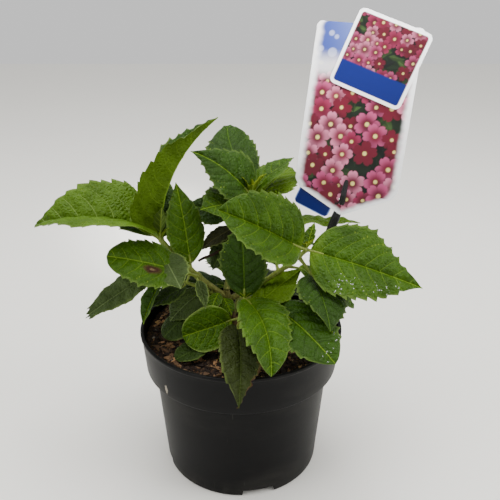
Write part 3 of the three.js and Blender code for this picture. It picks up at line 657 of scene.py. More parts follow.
def bladeGrid(limb, one, seed):
    # the two skins of a toothed, veined blade, with what its materials read
    length, width = one["length"], one["width"]
    size = min(length / 80, 1.15)
    teeth = max(4, round(0.9 * length / (blade["toothPitch"] * max(size, 0.4) ** 0.5)))
    rows = (np.arange(teeth)[:, None] + np.array(blade["phases"])).ravel() / teeth
    share = np.concatenate([[0.0, 0.02], 0.05 + 0.93 * rows, [0.98, 1.0]])
    heightsRight = np.concatenate([[0, 0], np.tile(blade["heights"], teeth), [0, 0]])
    heightsLeft = np.roll(heightsRight, 2)
    s = np.linspace(-1, 1, 2 * (6 + round(width / 8)) + 1)
    t, s = np.meshgrid(share, 0.8 * s + 0.2 * s ** 3, indexing="ij")
    if one.get("torn"):
        t = t * (0.93 + (0.03 * np.sin(3 * s + 1) + 0.025 * np.sin(11 * s + seed)) * smoothstep(0.6, 1, t))
    half = halfWidth(one, t)
    if one.get("torn"):
        half = np.maximum(half, 5.5 * smoothstep(0.5, 0.8, t))
    drawnIn = one["kind"] == "pointed" and not one.get("torn")
    half = half * (1 - blade["acuminate"] * smoothstep(0.66, 0.95, t) * drawnIn)
    half = half * (1 + 0.035 * np.sin(9 * t + seed * 2.3 + np.sign(s)))
    half = np.maximum(half, 0.25)

    edge = np.clip((np.abs(s) - 0.6) / 0.4, 0, 1) ** 1.6
    strength = smoothstep(0.08, 0.25, t) * (1 - smoothstep(0.78, 0.88, t)) * one["teeth"]
    uneven = 1 + 0.3 * np.sin(t * teeth * 2.4 + seed * 1.7 + 2 * np.sign(s))
    depth = blade["toothDepth"] * size * strength * min(1, width / (0.55 * length)) * uneven
    tooth = np.where(s > 0, heightsLeft[:, None], heightsRight[:, None])
    y = s * (half - 0.4 * depth) + np.sign(s) * edge * depth * tooth
    forward = edge * depth * tooth * blade["toothLean"] / length
    if one.get("ragged"):
        bites = smoothstep(0.35, 0.6, t) * np.clip(ripple(t * 31, 0 * t, 2.0) * 1.5, 0, 1) * (s > 0) * edge
        y = y - bites * 3.4
    along = t + forward * (1 - t)

    veinCount = round(4 + length / 33)
    outwards = np.abs(y) / length
    number = veinCount * (t ** 0.92 * 1.1 - 0.5 * outwards - 1.9 * outwards ** 2)
    number = number + 0.1 * ripple(t * 5, y / 14, seed) + np.where(s > 0, 0.17, 0)
    between = np.abs(number - np.round(number)) * 2
    inner = 1 - smoothstep(0.78, 1.0, np.abs(s))
    pillow = blade["pillow"] * size * smoothstep(0, 0.9, between) * inner * smoothstep(0.4, 4, np.abs(y))
    crinkle = 0.12 * size * ripple(t * length / 2.6, y / 2.6, seed) * inner
    groove = blade["midribDepth"] * size * np.exp(-(y / 1.4) ** 2)
    wave = blade["wave"] * size * np.sin(2 * math.pi * (1.9 * t + seed * 0.37)) * np.sin(math.pi * t)
    second = 0.6 * blade["wave"] * size * np.sin(2 * math.pi * (4.3 * t + seed * 0.61)) * np.sin(math.pi * t)
    lift = pillow + crinkle - groove + (wave + second * np.sign(s)) * np.abs(s) ** 2.2
    thick = blade["thickness"] / 2 * (1 - 0.6 * edge)
    rib = (0.75 - 0.55 * t) * size * np.exp(-(y / 1.0) ** 2)
    sideRib = 0.18 * size * (1 - smoothstep(0, 0.16, between)) * inner
    top = bladePoint(limb, one, along, y, half, lift + thick)
    under = bladePoint(limb, one, along, y, half, lift - thick - rib - sideRib)

    blemish = np.zeros_like(t)
    if "spot" in one:
        centre, aside, long, wide = one["spot"]
        distance = np.hypot((t - centre) * length / long, (y - aside * half) / wide)
        blemish = np.clip(1.35 - 0.5 * distance, 0, 1) * (distance < 2.3)
    if one.get("ragged"):
        reach = s + 0.14 * ripple(t * 40, s * 3, 1.0)
        blemish = smoothstep(0.72, 1.02, reach) * smoothstep(0.38, 0.62, t) * 0.82
    wet = np.zeros_like(t)
    for centre, aside, radius in one.get("wet", ()):
        wet = np.maximum(wet, np.hypot((t - centre) * length, y - aside * half) < radius)
    return top, under, {
        "bladeMap": np.stack([along * length, y, np.full_like(t, seed * 31.7)], axis=-1),
        "veinMap": np.stack([number, y, np.full_like(t, 0.8 * length / veinCount)], axis=-1),
        "rim": smoothstep(0.95, 1.0, np.abs(s)) * one["rim"],
        "foot": (1 - smoothstep(0.0, 0.14, t)) * (1 - 0.6 * np.abs(s)),
        "blemish": blemish, "margin": np.abs(s), "strewn": wet}


def addBlade(parts, limb, one, seed, cell, cells):
    # each of the blade's two skins has a square of its own in a layout of cells by cells
    top, under, values = bladeGrid(limb, one, seed)
    rows, columns = top.shape[:2]
    u, v = np.meshgrid(np.linspace(0.06, 0.94, columns), np.linspace(0.04, 0.96, rows))
    uvTop, uvUnder = ((np.stack([u, v], axis=-1) + (k % cells, k // cells)) / cells
                      for k in (2 * cell, 2 * cell + 1))
    points, quads, uvs = closedSheet(top, under, uvTop, uvUnder)
    faces = (rows - 1) * (columns - 1)
    slots = np.full(len(quads), shadeOrder.index(one["shade"]))
    slots[faces:2 * faces] = shadeOrder.index(one["under"])
    both = {}
    for key, value in values.items():
        flat = value.reshape(rows * columns, -1) if value.ndim == 3 else value.ravel()
        both[key] = np.concatenate([flat, flat * (0 if key in ("rim", "strewn") else 1)])
    parts.add(points, quads, uvs, slots, **both)


def addStalk(parts, limb, one):
    # from inside the limb, in a soft bend, to a little way along the underside of the midrib
    node, base = stalkEnds(limb, one)
    inBlade = bladePoint(limb, one, 0.12, 0.0, halfWidth(one, 0.12), -0.5)
    share = np.linspace(0, 1, 12)
    thick = 0.5 + 0.5 * min(one["length"] / 70, 1)
    radii = 1.55 * thick * (1 - 0.42 * share) + 0.5 * thick * np.exp(-(share / 0.12) ** 2)
    addTube(parts, bend(node, base, inBlade, share[:, None]), radii, 10, age=np.full(12, 0.05))


def youngLeaves(name, seed, keptClear):
    limb = limbs[name]
    draw = seeded(seed)
    firstHeading = 360 * next(draw)
    kept = []
    for pair in range(2):
        for turn in (0, 180):
            heading = firstHeading + 90 * pair + turn + 30 * (next(draw) - 0.5)
            rise = 50 + 15 * pair + 20 * next(draw)
            droop = 10 + 20 * next(draw)
            length = limb["young"] * (1 - 0.35 * pair - 0.15 * next(draw))
            one = leaf(1, heading, rise, droop, length, limb["young"] * (0.5 - 0.12 * pair), 2,
                       fold=32 + 10 * next(draw), kind="narrow", shade="young", young=True, teeth=0.6)
            share, midrib = np.array([0.5, 1.0]), np.zeros(2)
            ends = bladePoint(limb, one, share, midrib, halfWidth(one, share), midrib)
            if all(np.linalg.norm(keptClear - end, axis=1).min() > 5 for end in ends):
                kept.append(one)
    return kept


def keptClearOf(name):
    # points all over the other masses' grown leaves and limbs
    points = []
    for other, grown in leaves.items():
        if other == name:
            continue
        points.append(limbPoint(limbs[other], np.linspace(0, 1, 25)))
        for one in grown:
            t, s = np.meshgrid([0, 0.2, 0.4, 0.6, 0.8, 1], [-1, -0.5, 0, 0.5, 1])
            half = halfWidth(one, t)
            points.append(bladePoint(limbs[other], one, t, s * half, half, 0 * t).reshape(-1, 3))
    return np.concatenate(points)


def addLimb(parts, limb, nodesAt):
    # a tapering stem, thicker at its leaf joints
    share = np.linspace(0, 1, 60)
    path = limbPoint(limb, share)
    radius = boughRadius + (twigRadius - boughRadius) * share
    length = np.linalg.norm(np.diff(path, axis=0), axis=1).sum()
    for at in nodesAt:
        radius = radius * (1 + 0.28 * np.exp(-((share - at) * length / 2.6) ** 2))
    radius = radius * (1 + 0.03 * np.sin(share * 37))
    age = limb.get("woody", 0.5) * (1 - smoothstep(0.0, 0.8, share))
    addTube(parts, path, radius, 16, 0, 0.03, age=age)


def makeMass(name, seed):
    limb = limbs[name]
    every = leaves[name] + youngLeaves(name, seed, keptClearOf(name))
    blades, stalks = MeshParts(f"blades_{name}"), MeshParts(f"shoots_{name}")
    cells = math.ceil(math.sqrt(2 * len(every)))
    for k, one in enumerate(every):
        addBlade(blades, limb, one, k + 1 + seed * 0.1, k, cells)
        if not one["young"]:
            addStalk(stalks, limb, one)
    if name == deadStick["limb"]:
        corners = np.array(deadStick["path"], float)
        share = np.linspace(0, 2, 17)
        path = np.stack([np.interp(share, (0, 1, 2), corners[:, axis]) for axis in range(3)], axis=1)
        path[:, 2] += 0.5 * np.sin(share * 6)
        addTube(stalks, path, deadStick["radius"] * (0.8 + 0.15 * share), 9, 1, 0.06, age=np.ones(17))
    addLimb(stalks, limb, sorted({one["at"] for one in leaves[name]}))
    return blades.build(leafMaterials), stalks.build([stemMaterial, deadWoodMaterial])


dressed = []  # each piece with the CAD nodes that it replaces and its slot
for k, name in enumerate(leaves):
    bladePiece, stalkPiece = makeMass(name, 11 + 7 * k)
    dressed.append((bladePiece, [f"leaves_{name}"], "leaf" if name not in ("low", "rear") else "shaded_leaf"))
    boughs = [f"bough_{name}"] if f"bough_{name}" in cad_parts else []
    dressed.append((stalkPiece, boughs + [f"leaves_{name}"], "green_wood"))
    print("mass", name, "leaves:", len(leaves[name]), "quads:", len(bladePiece.data.polygons))


def makeTrunk():
    parts = MeshParts("stem_trunk")
    share = np.linspace(-0.06, 1, 60)
    radius = 3.2 - 0.5 * share + 1.3 * np.exp(-((share + 0.06) / 0.09) ** 2)
    for at in (0.33, 0.62, 0.85):
        radius = radius * (1 + 0.16 * np.exp(-((share - at) / 0.05) ** 2))
    age = 1 - 0.4 * smoothstep(0.4, 1, share)
    addTube(parts, limbPoint(limbs["trunk"], share), radius, 24, 0, 0.05, age=age)
    return parts.build([stemMaterial])


dressed.append((makeTrunk(), ["trunk"], "green_wood"))
print("stems made")

# Pot, compost and label

pot = {
    "height": 127, "rimRadius": 83.8, "bandBottom": 91, "bandRadius": 80.3, "bodyTopRadius": 73.2,
    "footRadius": 66, "footRound": 2, "wall": 1.8, "ledge": 2.5, "lipHeight": 3, "lipWidth": 1.0,
    "notches": 4, "firstNotch": 283, "notchWidth": 29, "notchHeight": 6, "notchDepth": 8,
    "footRing": 10, "footRingHeight": 8,  # the solid ring that the notches are cut in
    "ringSlope": 3,  # how much higher the ring is at the wall
    "sides": 160,
    "outOfRound": (0.22, 0.13),
    "colour": linear(7, 7, 8), "dustColour": linear(74, 72, 67), "scuffColour": linear(150, 142, 128),
    "roughness": 0.4,
    "dustStretch": (9, 9, 26), "scratchStretch": (260, 260, 16), "scratchAmount": 0.25,
    "scuff": ((-57.5, -57, 100), (500, 500, 160)),  # low on the band, left of the front
    "marks": [  # place, sharpness and colour: a dark line down the band, then small nicks
        ((-56, -60.3, 114), (620, 620, 85), linear(1, 1, 1)),
        ((43, -55.5, 51), (600, 600, 400), linear(5, 5, 5)),
        ((45.5, -52.5, 44), (600, 600, 400), linear(5, 5, 5)),
        ((42.5, -53.5, 38), (600, 600, 400), linear(5, 5, 5)),
    ],
}
innerFoot = pot["footRadius"] - pot["footRing"]
ringTop = pot["footRingHeight"] + pot["ringSlope"]


def bodyRadius(height):
    return pot["footRadius"] + (pot["bodyTopRadius"] - pot["footRadius"]) * height / pot["bandBottom"]


def roundedProfile(corners, steps=4):
    # corners as radius, height and rounding. Returns points with each corner turned in a small arc.
    places = [np.array(corner[:2], float) for corner in corners]
    rounded = [places[0]]
    for before, place, after, corner in zip(places, places[1:], places[2:], corners[1:]):
        start, end = (place + normalised(other - place) * corner[2] for other in (before, after))
        rounded.extend(bend(start, place, end, np.linspace(0, 1, steps)[:, None]))
    return np.array(rounded + [places[-1]])


def subdivided(profile, longest):
    points = [profile[0]]
    for a, b in zip(profile, profile[1:]):
        pieces = max(1, math.ceil(np.linalg.norm(b - a) / longest))
        points.extend(a + (b - a) * k / pieces for k in range(1, pieces + 1))
    return np.array(points)


def turnedGrid(profile, sides):
    # rings about the upright axis, from the first point of the profile to the last
    turn = turns(sides)
    r, z = profile[:, :1], profile[:, 1:]
    return np.stack([r * np.cos(turn), r * np.sin(turn), np.broadcast_to(z, (len(profile), sides))], axis=-1)


def evaluated(piece):
    # the piece with its modifiers worked into the mesh, and the modifiers gone
    graph = bpy.context.evaluated_depsgraph_get()
    graph.update()
    mesh = bpy.data.meshes.new_from_object(piece.evaluated_get(graph), preserve_all_data_layers=True,
                                           depsgraph=graph)
    piece.modifiers.clear()
    piece.data = mesh
    return piece


def farFrom(board, place, centre, sharpness):
    # how far a place is from a mark, counted larger the sharper the mark is along each axis
    for operation, other in (("SUBTRACT", tuple(v * mm for v in centre)), ("MULTIPLY", sharpness)):
        place = board.node("ShaderNodeVectorMath", {0: place, 1: other}, operation=operation).outputs[0]
    return board.node("ShaderNodeVectorMath", {0: place}, operation="LENGTH").outputs["Value"]


def makePotMaterial():
    board = MaterialBoard("potPlastic", Specular_IOR_Level=0.09)
    place = board.objectPlace()
    grain = board.group(fineGrain, Scale=900.0, Amount=0.16)
    dust = board.times(board.ramp(board.streaks(pot["dustStretch"], 5.0), 0.45, 0.75), 0.22)
    scratch = board.ramp(board.streaks(pot["scratchStretch"], 2.0, 0.4), 0.71, 0.74)
    low = board.ramp(board.axes(place)[2], 0.0, 0.02, 0.35, 0.0)
    soiled = board.times(low, board.ramp(board.noise(place, 60.0, 5.0), 0.4, 0.7))
    marks = board.larger(board.larger(dust, soiled), board.times(scratch, pot["scratchAmount"]))
    torn = board.plus(farFrom(board, place, *pot["scuff"]), board.times(board.noise(place, 700.0, 4.0), 1.4))
    scuff = board.ramp(torn, 1.25, 1.5, 1.0, 0.0)
    base = board.layers(board.tinted(pot["colour"], grain["Shade"]), (marks, pot["dustColour"]),
                        (scuff, pot["scuffColour"]))
    for centre, sharpness, colour in pot["marks"]:
        near = board.ramp(farFrom(board, place, centre, sharpness), 0.7, 1.05, 0.8, 0.0)
        base = board.mix(near, base, colour)
    rough = board.math("MULTIPLY_ADD", marks, 0.5, pot["roughness"])
    return board.cover(base, board.larger(rough, board.times(scuff, 0.8)), grain["Height"], (0.18, 0.0003))


def addHub(parts, ring, facesUp):
    # a small disc of quads that closes a ring of points
    sides = len(ring)
    first = np.arange(0, sides, 2)
    after, later, hub = (first + 1) % sides, (first + 2) % sides, np.full(len(first), sides)
    quads = [first, after, later, hub] if facesUp else [first, hub, later, after]
    parts.add(np.concatenate([ring, [(0, 0, ring[0, 2])]]), np.stack(quads, axis=1))


def makeNotchCutters():
    parts = MeshParts("notchCutters")
    box = np.array([(x, y, z) for x in (-1, 1) for y in (-1, 1) for z in (-1, 1)], float)
    quads = np.array([(0, 1, 3, 2), (4, 6, 7, 5), (0, 4, 5, 1), (2, 3, 7, 6), (0, 2, 6, 4), (1, 5, 7, 3)])
    out, along, up = box[:, :1], box[:, 1:2], box[:, 2:]
    width = pot["notchWidth"] / 2 * (1 - 0.1 * (up > 0))
    for k in range(pot["notches"]):
        angle = math.radians(pot["firstNotch"] + 360 * k / pot["notches"])
        ahead = np.array([math.cos(angle), math.sin(angle), 0])
        aside = np.array([-math.sin(angle), math.cos(angle), 0])
        points = ahead * (pot["footRadius"] + out * pot["notchDepth"]) + aside * (along * width)
        parts.add(points + (0, 0, 1) * up * pot["notchHeight"], quads)
    return parts.build([potMaterial])


def makePot():
    p, wall, step = pot, pot["wall"], pot["bandBottom"]
    bandTop, lipFoot = p["rimRadius"] - p["lipWidth"], p["height"] - p["lipHeight"]
    corners = [
        (0.05, 0, 0), (p["footRadius"], 0, p["footRound"]), (p["bodyTopRadius"], step, 0.5),
        (p["bandRadius"], step + p["ledge"], 0.9), (bandTop, lipFoot, 0.5),
        (p["rimRadius"], lipFoot + 0.7, 0.4), (p["rimRadius"], p["height"], 0.9),
        (bandTop - wall, p["height"], 0.9), (p["bandRadius"] - wall, step + p["ledge"] + wall, 0.9),
        (p["bodyTopRadius"] - wall, step, 0.6), (bodyRadius(ringTop) - wall, ringTop, 0.8),
        (innerFoot, p["footRingHeight"], 0.8), (innerFoot, wall, 0.8), (0.05, wall, 0),
    ]
    grid = turnedGrid(subdivided(roundedProfile(corners), 6), p["sides"])
    turn, height = np.arctan2(grid[..., 1], grid[..., 0]), grid[..., 2]
    oval, threefold = p["outOfRound"]
    swell = oval * np.sin(2 * turn + 0.7) + threefold * np.sin(3 * turn + height / 40)
    swell = smoothstep(0, 60, height) * swell
    grid[..., 0] += swell * np.cos(turn)
    grid[..., 1] += swell * np.sin(turn)
    parts = MeshParts("pot_shell")
    parts.addRings(grid)
    addHub(parts, grid[0], False)
    addHub(parts, grid[-1], True)
    piece = parts.build([potMaterial], 35)
    cutter = makeNotchCutters()
    modifier = piece.modifiers.new("notches", "BOOLEAN")
    modifier.object = cutter
    modifier.solver = "EXACT"
    evaluated(piece)
    bpy.data.objects.remove(cutter)
    piece.data.set_sharp_from_angle(angle=math.radians(35))
    return piece


compost = {
    "top": 117.5, "dish": 3.5, "levelRadius": 24, "radius": 79.4, "unevenness": 0.9,
    "heap": 6,  # how much higher it lies at the pot's left side
    "rings": 92, "sides": 300,
    "lump": 1.1,  # height of the crumbs in the surface itself
    "sideGap": 0.6, "floorGap": 0.5,  # what is left free inside the pot
    "strewnAbove": 108, "clearRim": 6,  # no litter lower down or nearer the wall than this
    "colours": (linear(22, 14, 9), linear(50, 34, 22)), "gritColour": linear(104, 70, 44),
}


def compostHeight(x, y):
    radius = np.hypot(x, y)
    share = np.clip((compost["radius"] - radius) / (compost["radius"] - compost["levelRadius"]), 0, 1)
    height = compost["top"] - compost["dish"] * (1 - share ** 0.5)
    far = smoothstep(compost["levelRadius"], compost["radius"], radius)
    height = height + far * compost["unevenness"] * (np.sin(x / 9 + 1) + np.cos(y / 11 + x / 23))
    height = height + far * compost["heap"] * smoothstep(0.2 * compost["radius"], compost["radius"], -x)
    crumbs = ripple(x * 0.9, y * 0.9, 1.0) + 0.7 * ripple(x * 2.3, y * 2.3, 4.0)
    return height + compost["lump"] * (crumbs * 0.5 - 0.35)


def makeCompostMaterial():
    board = MaterialBoard("darkCompost", Specular_IOR_Level=0.25)
    place = board.objectPlace()
    coarse = board.noise(place, 260.0, 6.0, 0.7)
    cells = board.cells(place, 640.0)
    grit = board.times(board.ramp(board.axes(cells["Color"])[0], 0.8, 0.86), 0.55)
    base = board.mix(board.ramp(coarse, 0.35, 0.68), *compost["colours"])
    height = board.plus(coarse, board.times(cells["Distance"], 0.5))
    return board.cover(board.mix(grit, base, compost["gritColour"]), board.ramp(coarse, 0.3, 0.7, 0.75, 0.95),
                       height, (0.9, 0.0012))


def makeCompost():
    c, gap, wall, floor = compost, compost["sideGap"], pot["wall"], pot["wall"] + compost["floorGap"]
    radii = c["radius"] * np.linspace(0, 1, c["rings"]) ** 0.9
    radii[0] = 0.2
    turn = turns(c["sides"])
    x, y = radii[:, None] * np.cos(turn), radii[:, None] * np.sin(turn)
    surface = np.stack([x, y, compostHeight(x, y)], axis=-1)
    lower = np.array([
        (c["radius"], 113.0), (pot["bandRadius"] - wall - gap, pot["bandBottom"] + 4.2),
        (pot["bodyTopRadius"] - wall - gap, pot["bandBottom"] - 0.6),
        (bodyRadius(ringTop) - wall - gap, ringTop + c["floorGap"]),
        (innerFoot - gap, pot["footRingHeight"] + c["floorGap"]), (innerFoot - gap, floor), (0.2, floor)])
    grid = np.concatenate([surface, turnedGrid(subdivided(lower, 8)[1:], c["sides"])])[::-1]
    inside = np.hypot(grid[..., 0], grid[..., 1]) < c["radius"] - c["clearRim"]
    parts = MeshParts("compost_body")
    parts.addRings(grid, strewn=(inside * (grid[..., 2] > c["strewnAbove"])).ravel())
    return parts.build([compostMaterial], 180)


def scatterTree(name, prototypes, material, settings):
    # a Geometry Nodes tree that strews copies of the prototypes where an attribute is high
    tree = bpy.data.node_groups.new(name, "GeometryNodeTree")
    face = tree.interface
    face.new_socket(name="Ground", in_out="INPUT", socket_type="NodeSocketGeometry")
    for label in settings:
        face.new_socket(name=label, in_out="INPUT", socket_type="NodeSocketFloat")
    face.new_socket(name="Scatter", in_out="OUTPUT", socket_type="NodeSocketGeometry")
    board = NodeBoard(tree)
    given, result = board.node("NodeGroupInput").outputs, board.node("NodeGroupOutput").inputs
    mask = board.node("GeometryNodeInputNamedAttribute", {0: "strewn"}, data_type="FLOAT")
    where = board.node("FunctionNodeCompare", {0: mask.outputs[0], 1: 0.5}, data_type="FLOAT",
                       operation="GREATER_THAN")
    points = board.node("GeometryNodeDistributePointsOnFaces", {
        "Mesh": given["Ground"], "Selection": where.outputs[0], "Density": given["Density"], "Seed": 7,
    }, distribute_method="RANDOM").outputs
    joined = board.node("GeometryNodeJoinGeometry")
    for prototype in prototypes:
        info = board.node("GeometryNodeObjectInfo", {"Object": prototype, "As Instance": True})
        tree.links.new(info.outputs["Geometry"], joined.inputs[0])
    tilt = given["Tilt"]
    backTilt = board.times(tilt, -1.0)
    low = board.node("ShaderNodeCombineXYZ", {0: backTilt, 1: backTilt, 2: 0.0}).outputs[0]
    high = board.node("ShaderNodeCombineXYZ", {0: tilt, 1: tilt, 2: 2 * math.pi}).outputs[0]
    turn = board.node("FunctionNodeRandomValue", {"Min": low, "Max": high, "Seed": 3},
                      data_type="FLOAT_VECTOR")
    facing = board.node("FunctionNodeRotateRotation", {
        "Rotation": points["Rotation"], "Rotate By": turn.outputs[0]}, rotation_space="LOCAL")
    size = board.node("FunctionNodeRandomValue", {
        2: given["Smallest"], 3: given["Largest"], "Seed": 5}, data_type="FLOAT")
    placed = board.node("GeometryNodeInstanceOnPoints", {
        "Points": points["Points"], "Instance": joined.outputs[0], "Pick Instance": True,
        "Rotation": facing.outputs[0], "Scale": size.outputs[1]})
    tone = board.node("FunctionNodeRandomValue", {"Seed": 11}, data_type="FLOAT")
    stored = board.node("GeometryNodeStoreNamedAttribute", {
        "Geometry": placed.outputs[0], "Name": "tone", "Value": tone.outputs[1],
    }, data_type="FLOAT", domain="INSTANCE")
    real = board.node("GeometryNodeRealizeInstances", {"Geometry": stored.outputs[0]})
    painted = board.node("GeometryNodeSetMaterial", {"Geometry": real.outputs[0], "Material": material})
    board.put(result["Scatter"], painted.outputs[0])
    return tree


def scatter(name, ground, prototypes, material, **settings):
    tree = scatterTree(name, prototypes, material, settings)
    piece = ground.copy()
    piece.name = name
    bpy.context.collection.objects.link(piece)
    modifier = piece.modifiers.new("scatter", "NODES")
    modifier.node_group = tree
    for socket in tree.interface.items_tree:
        if socket.in_out == "INPUT" and socket.name in settings:
            modifier[socket.identifier] = settings[socket.name]
    evaluated(piece)
    for prototype in prototypes:
        bpy.data.objects.remove(prototype)
    return piece


litter = {  # count, length, width, thickness and bend of the prototypes, dark and pale colour, how seldom
    # a piece comes out pale, roughness, number to the square metre, tilt, smallest and largest size
    "chips": ((6, 9.5, 3.4, 1.0, 0.8), (34, 22, 14), (178, 134, 92), 3.5, 0.85, 90000, 0.45, 0.35, 1.1),
    "fibres": ((5, 11.0, 0.5, 0.4, 2.6), (52, 36, 24), (200, 170, 128), 2.5, 0.85, 42000, 0.35, 0.4, 1.2),
    "crumbs": ((4, 1.9, 1.7, 1.2, 0.1), (18, 12, 8), (214, 204, 190), 26, 0.95, 150000, 0.9, 0.4, 1.2),
}
litterMaterials = {"chips": "barkChips", "fibres": "peatFibres", "crumbs": "peatCrumbs"}


def makeLitterMaterial(name, dark, pale, rarity, roughness):
    board = MaterialBoard(name, Specular_IOR_Level=0.3)
    tone = board.math("POWER", board.attribute("tone"), rarity)
    grain = board.noise(board.objectPlace(), 1500.0, 3.0)
    base = board.tinted(board.mix(tone, linear(*dark), linear(*pale)), board.ramp(grain, 0.2, 0.8, 0.7, 1.15))
    return board.cover(base, board.ramp(grain, 0.3, 0.7, roughness - 0.1, roughness), grain, (0.6, 0.0003))


def flakePrototypes(name, count, long, wide, thick, bow):
    # slivers with uneven ends, a few dozen faces each
    draw = seeded(97)
    rows, columns = 5, 3
    along, across = np.meshgrid(np.linspace(-0.5, 0.5, rows), np.linspace(-0.5, 0.5, columns), indexing="ij")
    blank = np.zeros((rows, columns, 2))
    made = []
    for k in range(count):
        uneven = np.array([[next(draw) - 0.5 for _ in range(columns)] for _ in range(rows)])
        taper = 1 - 0.7 * np.abs(2 * along) ** 2.5
        x = along * (long * (0.6 + 0.8 * next(draw))) * (1 + 0.15 * uneven)
        y = across * wide * taper * (0.7 + 0.6 * next(draw)) + bow * (along * 2) ** 2 * next(draw)
        z = bow * 0.6 * (1 - (2 * along) ** 2) * next(draw) + 0.3 * thick * uneven
        top, under = (np.stack([x, y, z + side], axis=-1) for side in (thick / 2, -thick / 2))
        points, quads, _ = closedSheet(top, under, blank, blank)
        parts = MeshParts(f"{name}{k}")
        parts.add(points, quads)
        made.append(parts.build([], 40))
    return made


potMaterial = makePotMaterial()
compostMaterial = makeCompostMaterial()
dressed.append((makePot(), ["pot"], "pot_plastic"))
compostPiece = makeCompost()
dressed.append((compostPiece, ["compost"], "compost"))
for kind, (flake, dark, pale, rarity, roughness, density, tilt, smallest, largest) in litter.items():
    material = makeLitterMaterial(litterMaterials[kind], dark, pale, rarity, roughness)
    piece = scatter(f"compost_{kind}", compostPiece, flakePrototypes(kind, *flake), material,
                    Density=density, Tilt=tilt, Smallest=smallest, Largest=largest)
    dressed.append((piece, ["compost"], "compost"))
print("pot and compost made")

# The label's own places are measured from the card's lower tip, to the right, to the back and up
label = {
    "foot": (81.4, 19.5, 216.1), "leansBack": 15.5, "turn": -18.5, "thickness": 1.0,
    "cardWidth": 84, "cardHeight": 150, "cardPoint": 22, "cardCorner": 4.0, "cardLean": -2.8,
    "tagSize": (61, 61), "tagCentre": (17.7, -1.3, 124), "tagLean": -19.4, "tagCorner": 5,
    "tabSize": (31, 23), "tabCentre": (-22.4, 1.3, 12.2), "tabLean": -20.7, "tabCorner": 4,
    "cell": 0.6, "tagCell": 0.45,  # size of the print's cells
    "slot": (-2.5, 0.8, 7.6, 13.0),  # where the stake comes through the card
    "whiteMargin": 7.5, "tagBorder": 2.7, "bandTop": -10.5,
    "white": rgb(254, 254, 254), "sky": rgb(44, 62, 140), "paleSky": rgb(128, 144, 196),
    "discs": rgb(214, 220, 242), "blue": rgb(4, 23, 96), "paleBlue": rgb(120, 150, 214),
    "greens": [rgb(20, 32, 18), rgb(46, 66, 30), rgb(14, 20, 16)],
    "pinks": [rgb(176, 74, 116), rgb(142, 40, 76), rgb(96, 16, 36), rgb(208, 122, 150)],
    "eye": rgb(222, 206, 120),
    "tagShare": 0.6,  # how bright the tag's picture is beside the card's
    "cardBack": rgb(232, 231, 228), "tagBack": rgb(236, 235, 232),
}


def labelPlace(points):
    # from the label's own places to where it stands, leaning back and turned
    back, turn = math.radians(label["leansBack"]), math.radians(label["turn"])
    x, y, z = np.moveaxis(np.asarray(points, float), -1, 0)
    y, z = y * math.cos(back) + z * math.sin(back), z * math.cos(back) - y * math.sin(back)
    x, y = x * math.cos(turn) - y * math.sin(turn), x * math.sin(turn) + y * math.cos(turn)
    return np.stack([x, y, z], axis=-1) + label["foot"]


def cornerLoss(fromEnd, corner):
    # how much a rounded corner takes off a half width, at a distance from the plate's end
    reach = np.clip(corner - fromEnd, 0, corner)
    return corner - np.sqrt(np.maximum(corner ** 2 - reach ** 2, 0))


def cardHalfWidth(height):
    # half of the card's width at a height above its lower tip
    half, point = label["cardWidth"] / 2, label["cardPoint"]
    lower = np.minimum(4 + (half - 8) * (height - 1.5) / (point - 5.5), half)
    lower = np.where(height < 1.5, 4 * np.sqrt(np.clip(height / 1.5, 0, 1)), lower)
    blend = smoothstep(point - 6, point + 4, height)
    lower = np.where(height > point - 6, np.minimum(lower, half - 4.5 + 4.5 * blend), lower)
    return lower - cornerLoss(label["cardHeight"] - height, label["cardCorner"])


def plateGrid(low, high, halfAt, rows, columns):
    # rows are closer together at both ends, where the outline is rounded
    share = np.linspace(0, 1, rows)
    share = 0.9 * share + 0.1 * (share - np.sin(2 * math.pi * share) / (2 * math.pi))
    height = low + (high - low) * share
    half = np.maximum(halfAt(height), 0.4)
    a = half[:, None] * np.linspace(-1, 1, columns)
    return a, np.broadcast_to(height[:, None], a.shape)


def roundedPlate(size, corner, rows, columns):
    # the grid of a plate with rounded corners, about its middle, and how far in each point lies
    wide, tall = size[0] / 2, size[1] / 2

    def halfAt(height):
        return wide - cornerLoss(tall - np.abs(height), corner)

    a, b = plateGrid(-tall, tall, halfAt, rows, columns)
    return a, b, np.minimum(wide - np.abs(a), tall - np.abs(b))


def cutHole(a, b, quads, uvs, hole):
    # opens both skins and joins them round the hole, given as lowest and highest across and up
    rows, columns = a.shape
    size, faces = rows * columns, (rows - 1) * (columns - 1)
    across, up = (way.reshape(-1)[quads[:faces]].mean(axis=1) for way in (a, b))
    inHole = (across > hole[0]) & (across < hole[1]) & (up > hole[2]) & (up < hole[3])
    r, c = np.nonzero(inHole.reshape(rows - 1, columns - 1))
    r0, r1, c0, c1 = r.min(), r.max() + 1, c.min(), c.max() + 1
    solid = np.ones((rows - 1, columns - 1), bool)
    solid[r0:r1, c0:c1] = False
    keep = np.concatenate([solid.ravel(), solid.ravel(), np.ones(len(quads) - 2 * faces, bool)])
    index = np.arange(size).reshape(rows, columns)
    border = np.concatenate([index[r0:r1, c0], index[r1, c0:c1], index[r1:r0:-1, c1], index[r0, c1:c0:-1]])
    after = np.roll(border, -1)
    strip = np.stack([after, after + size, border + size, border], axis=1)
    stripUv = np.full((len(strip), 4, 2), 0.995)
    return np.concatenate([quads[keep], strip]), np.concatenate([uvs[keep], stripUv])


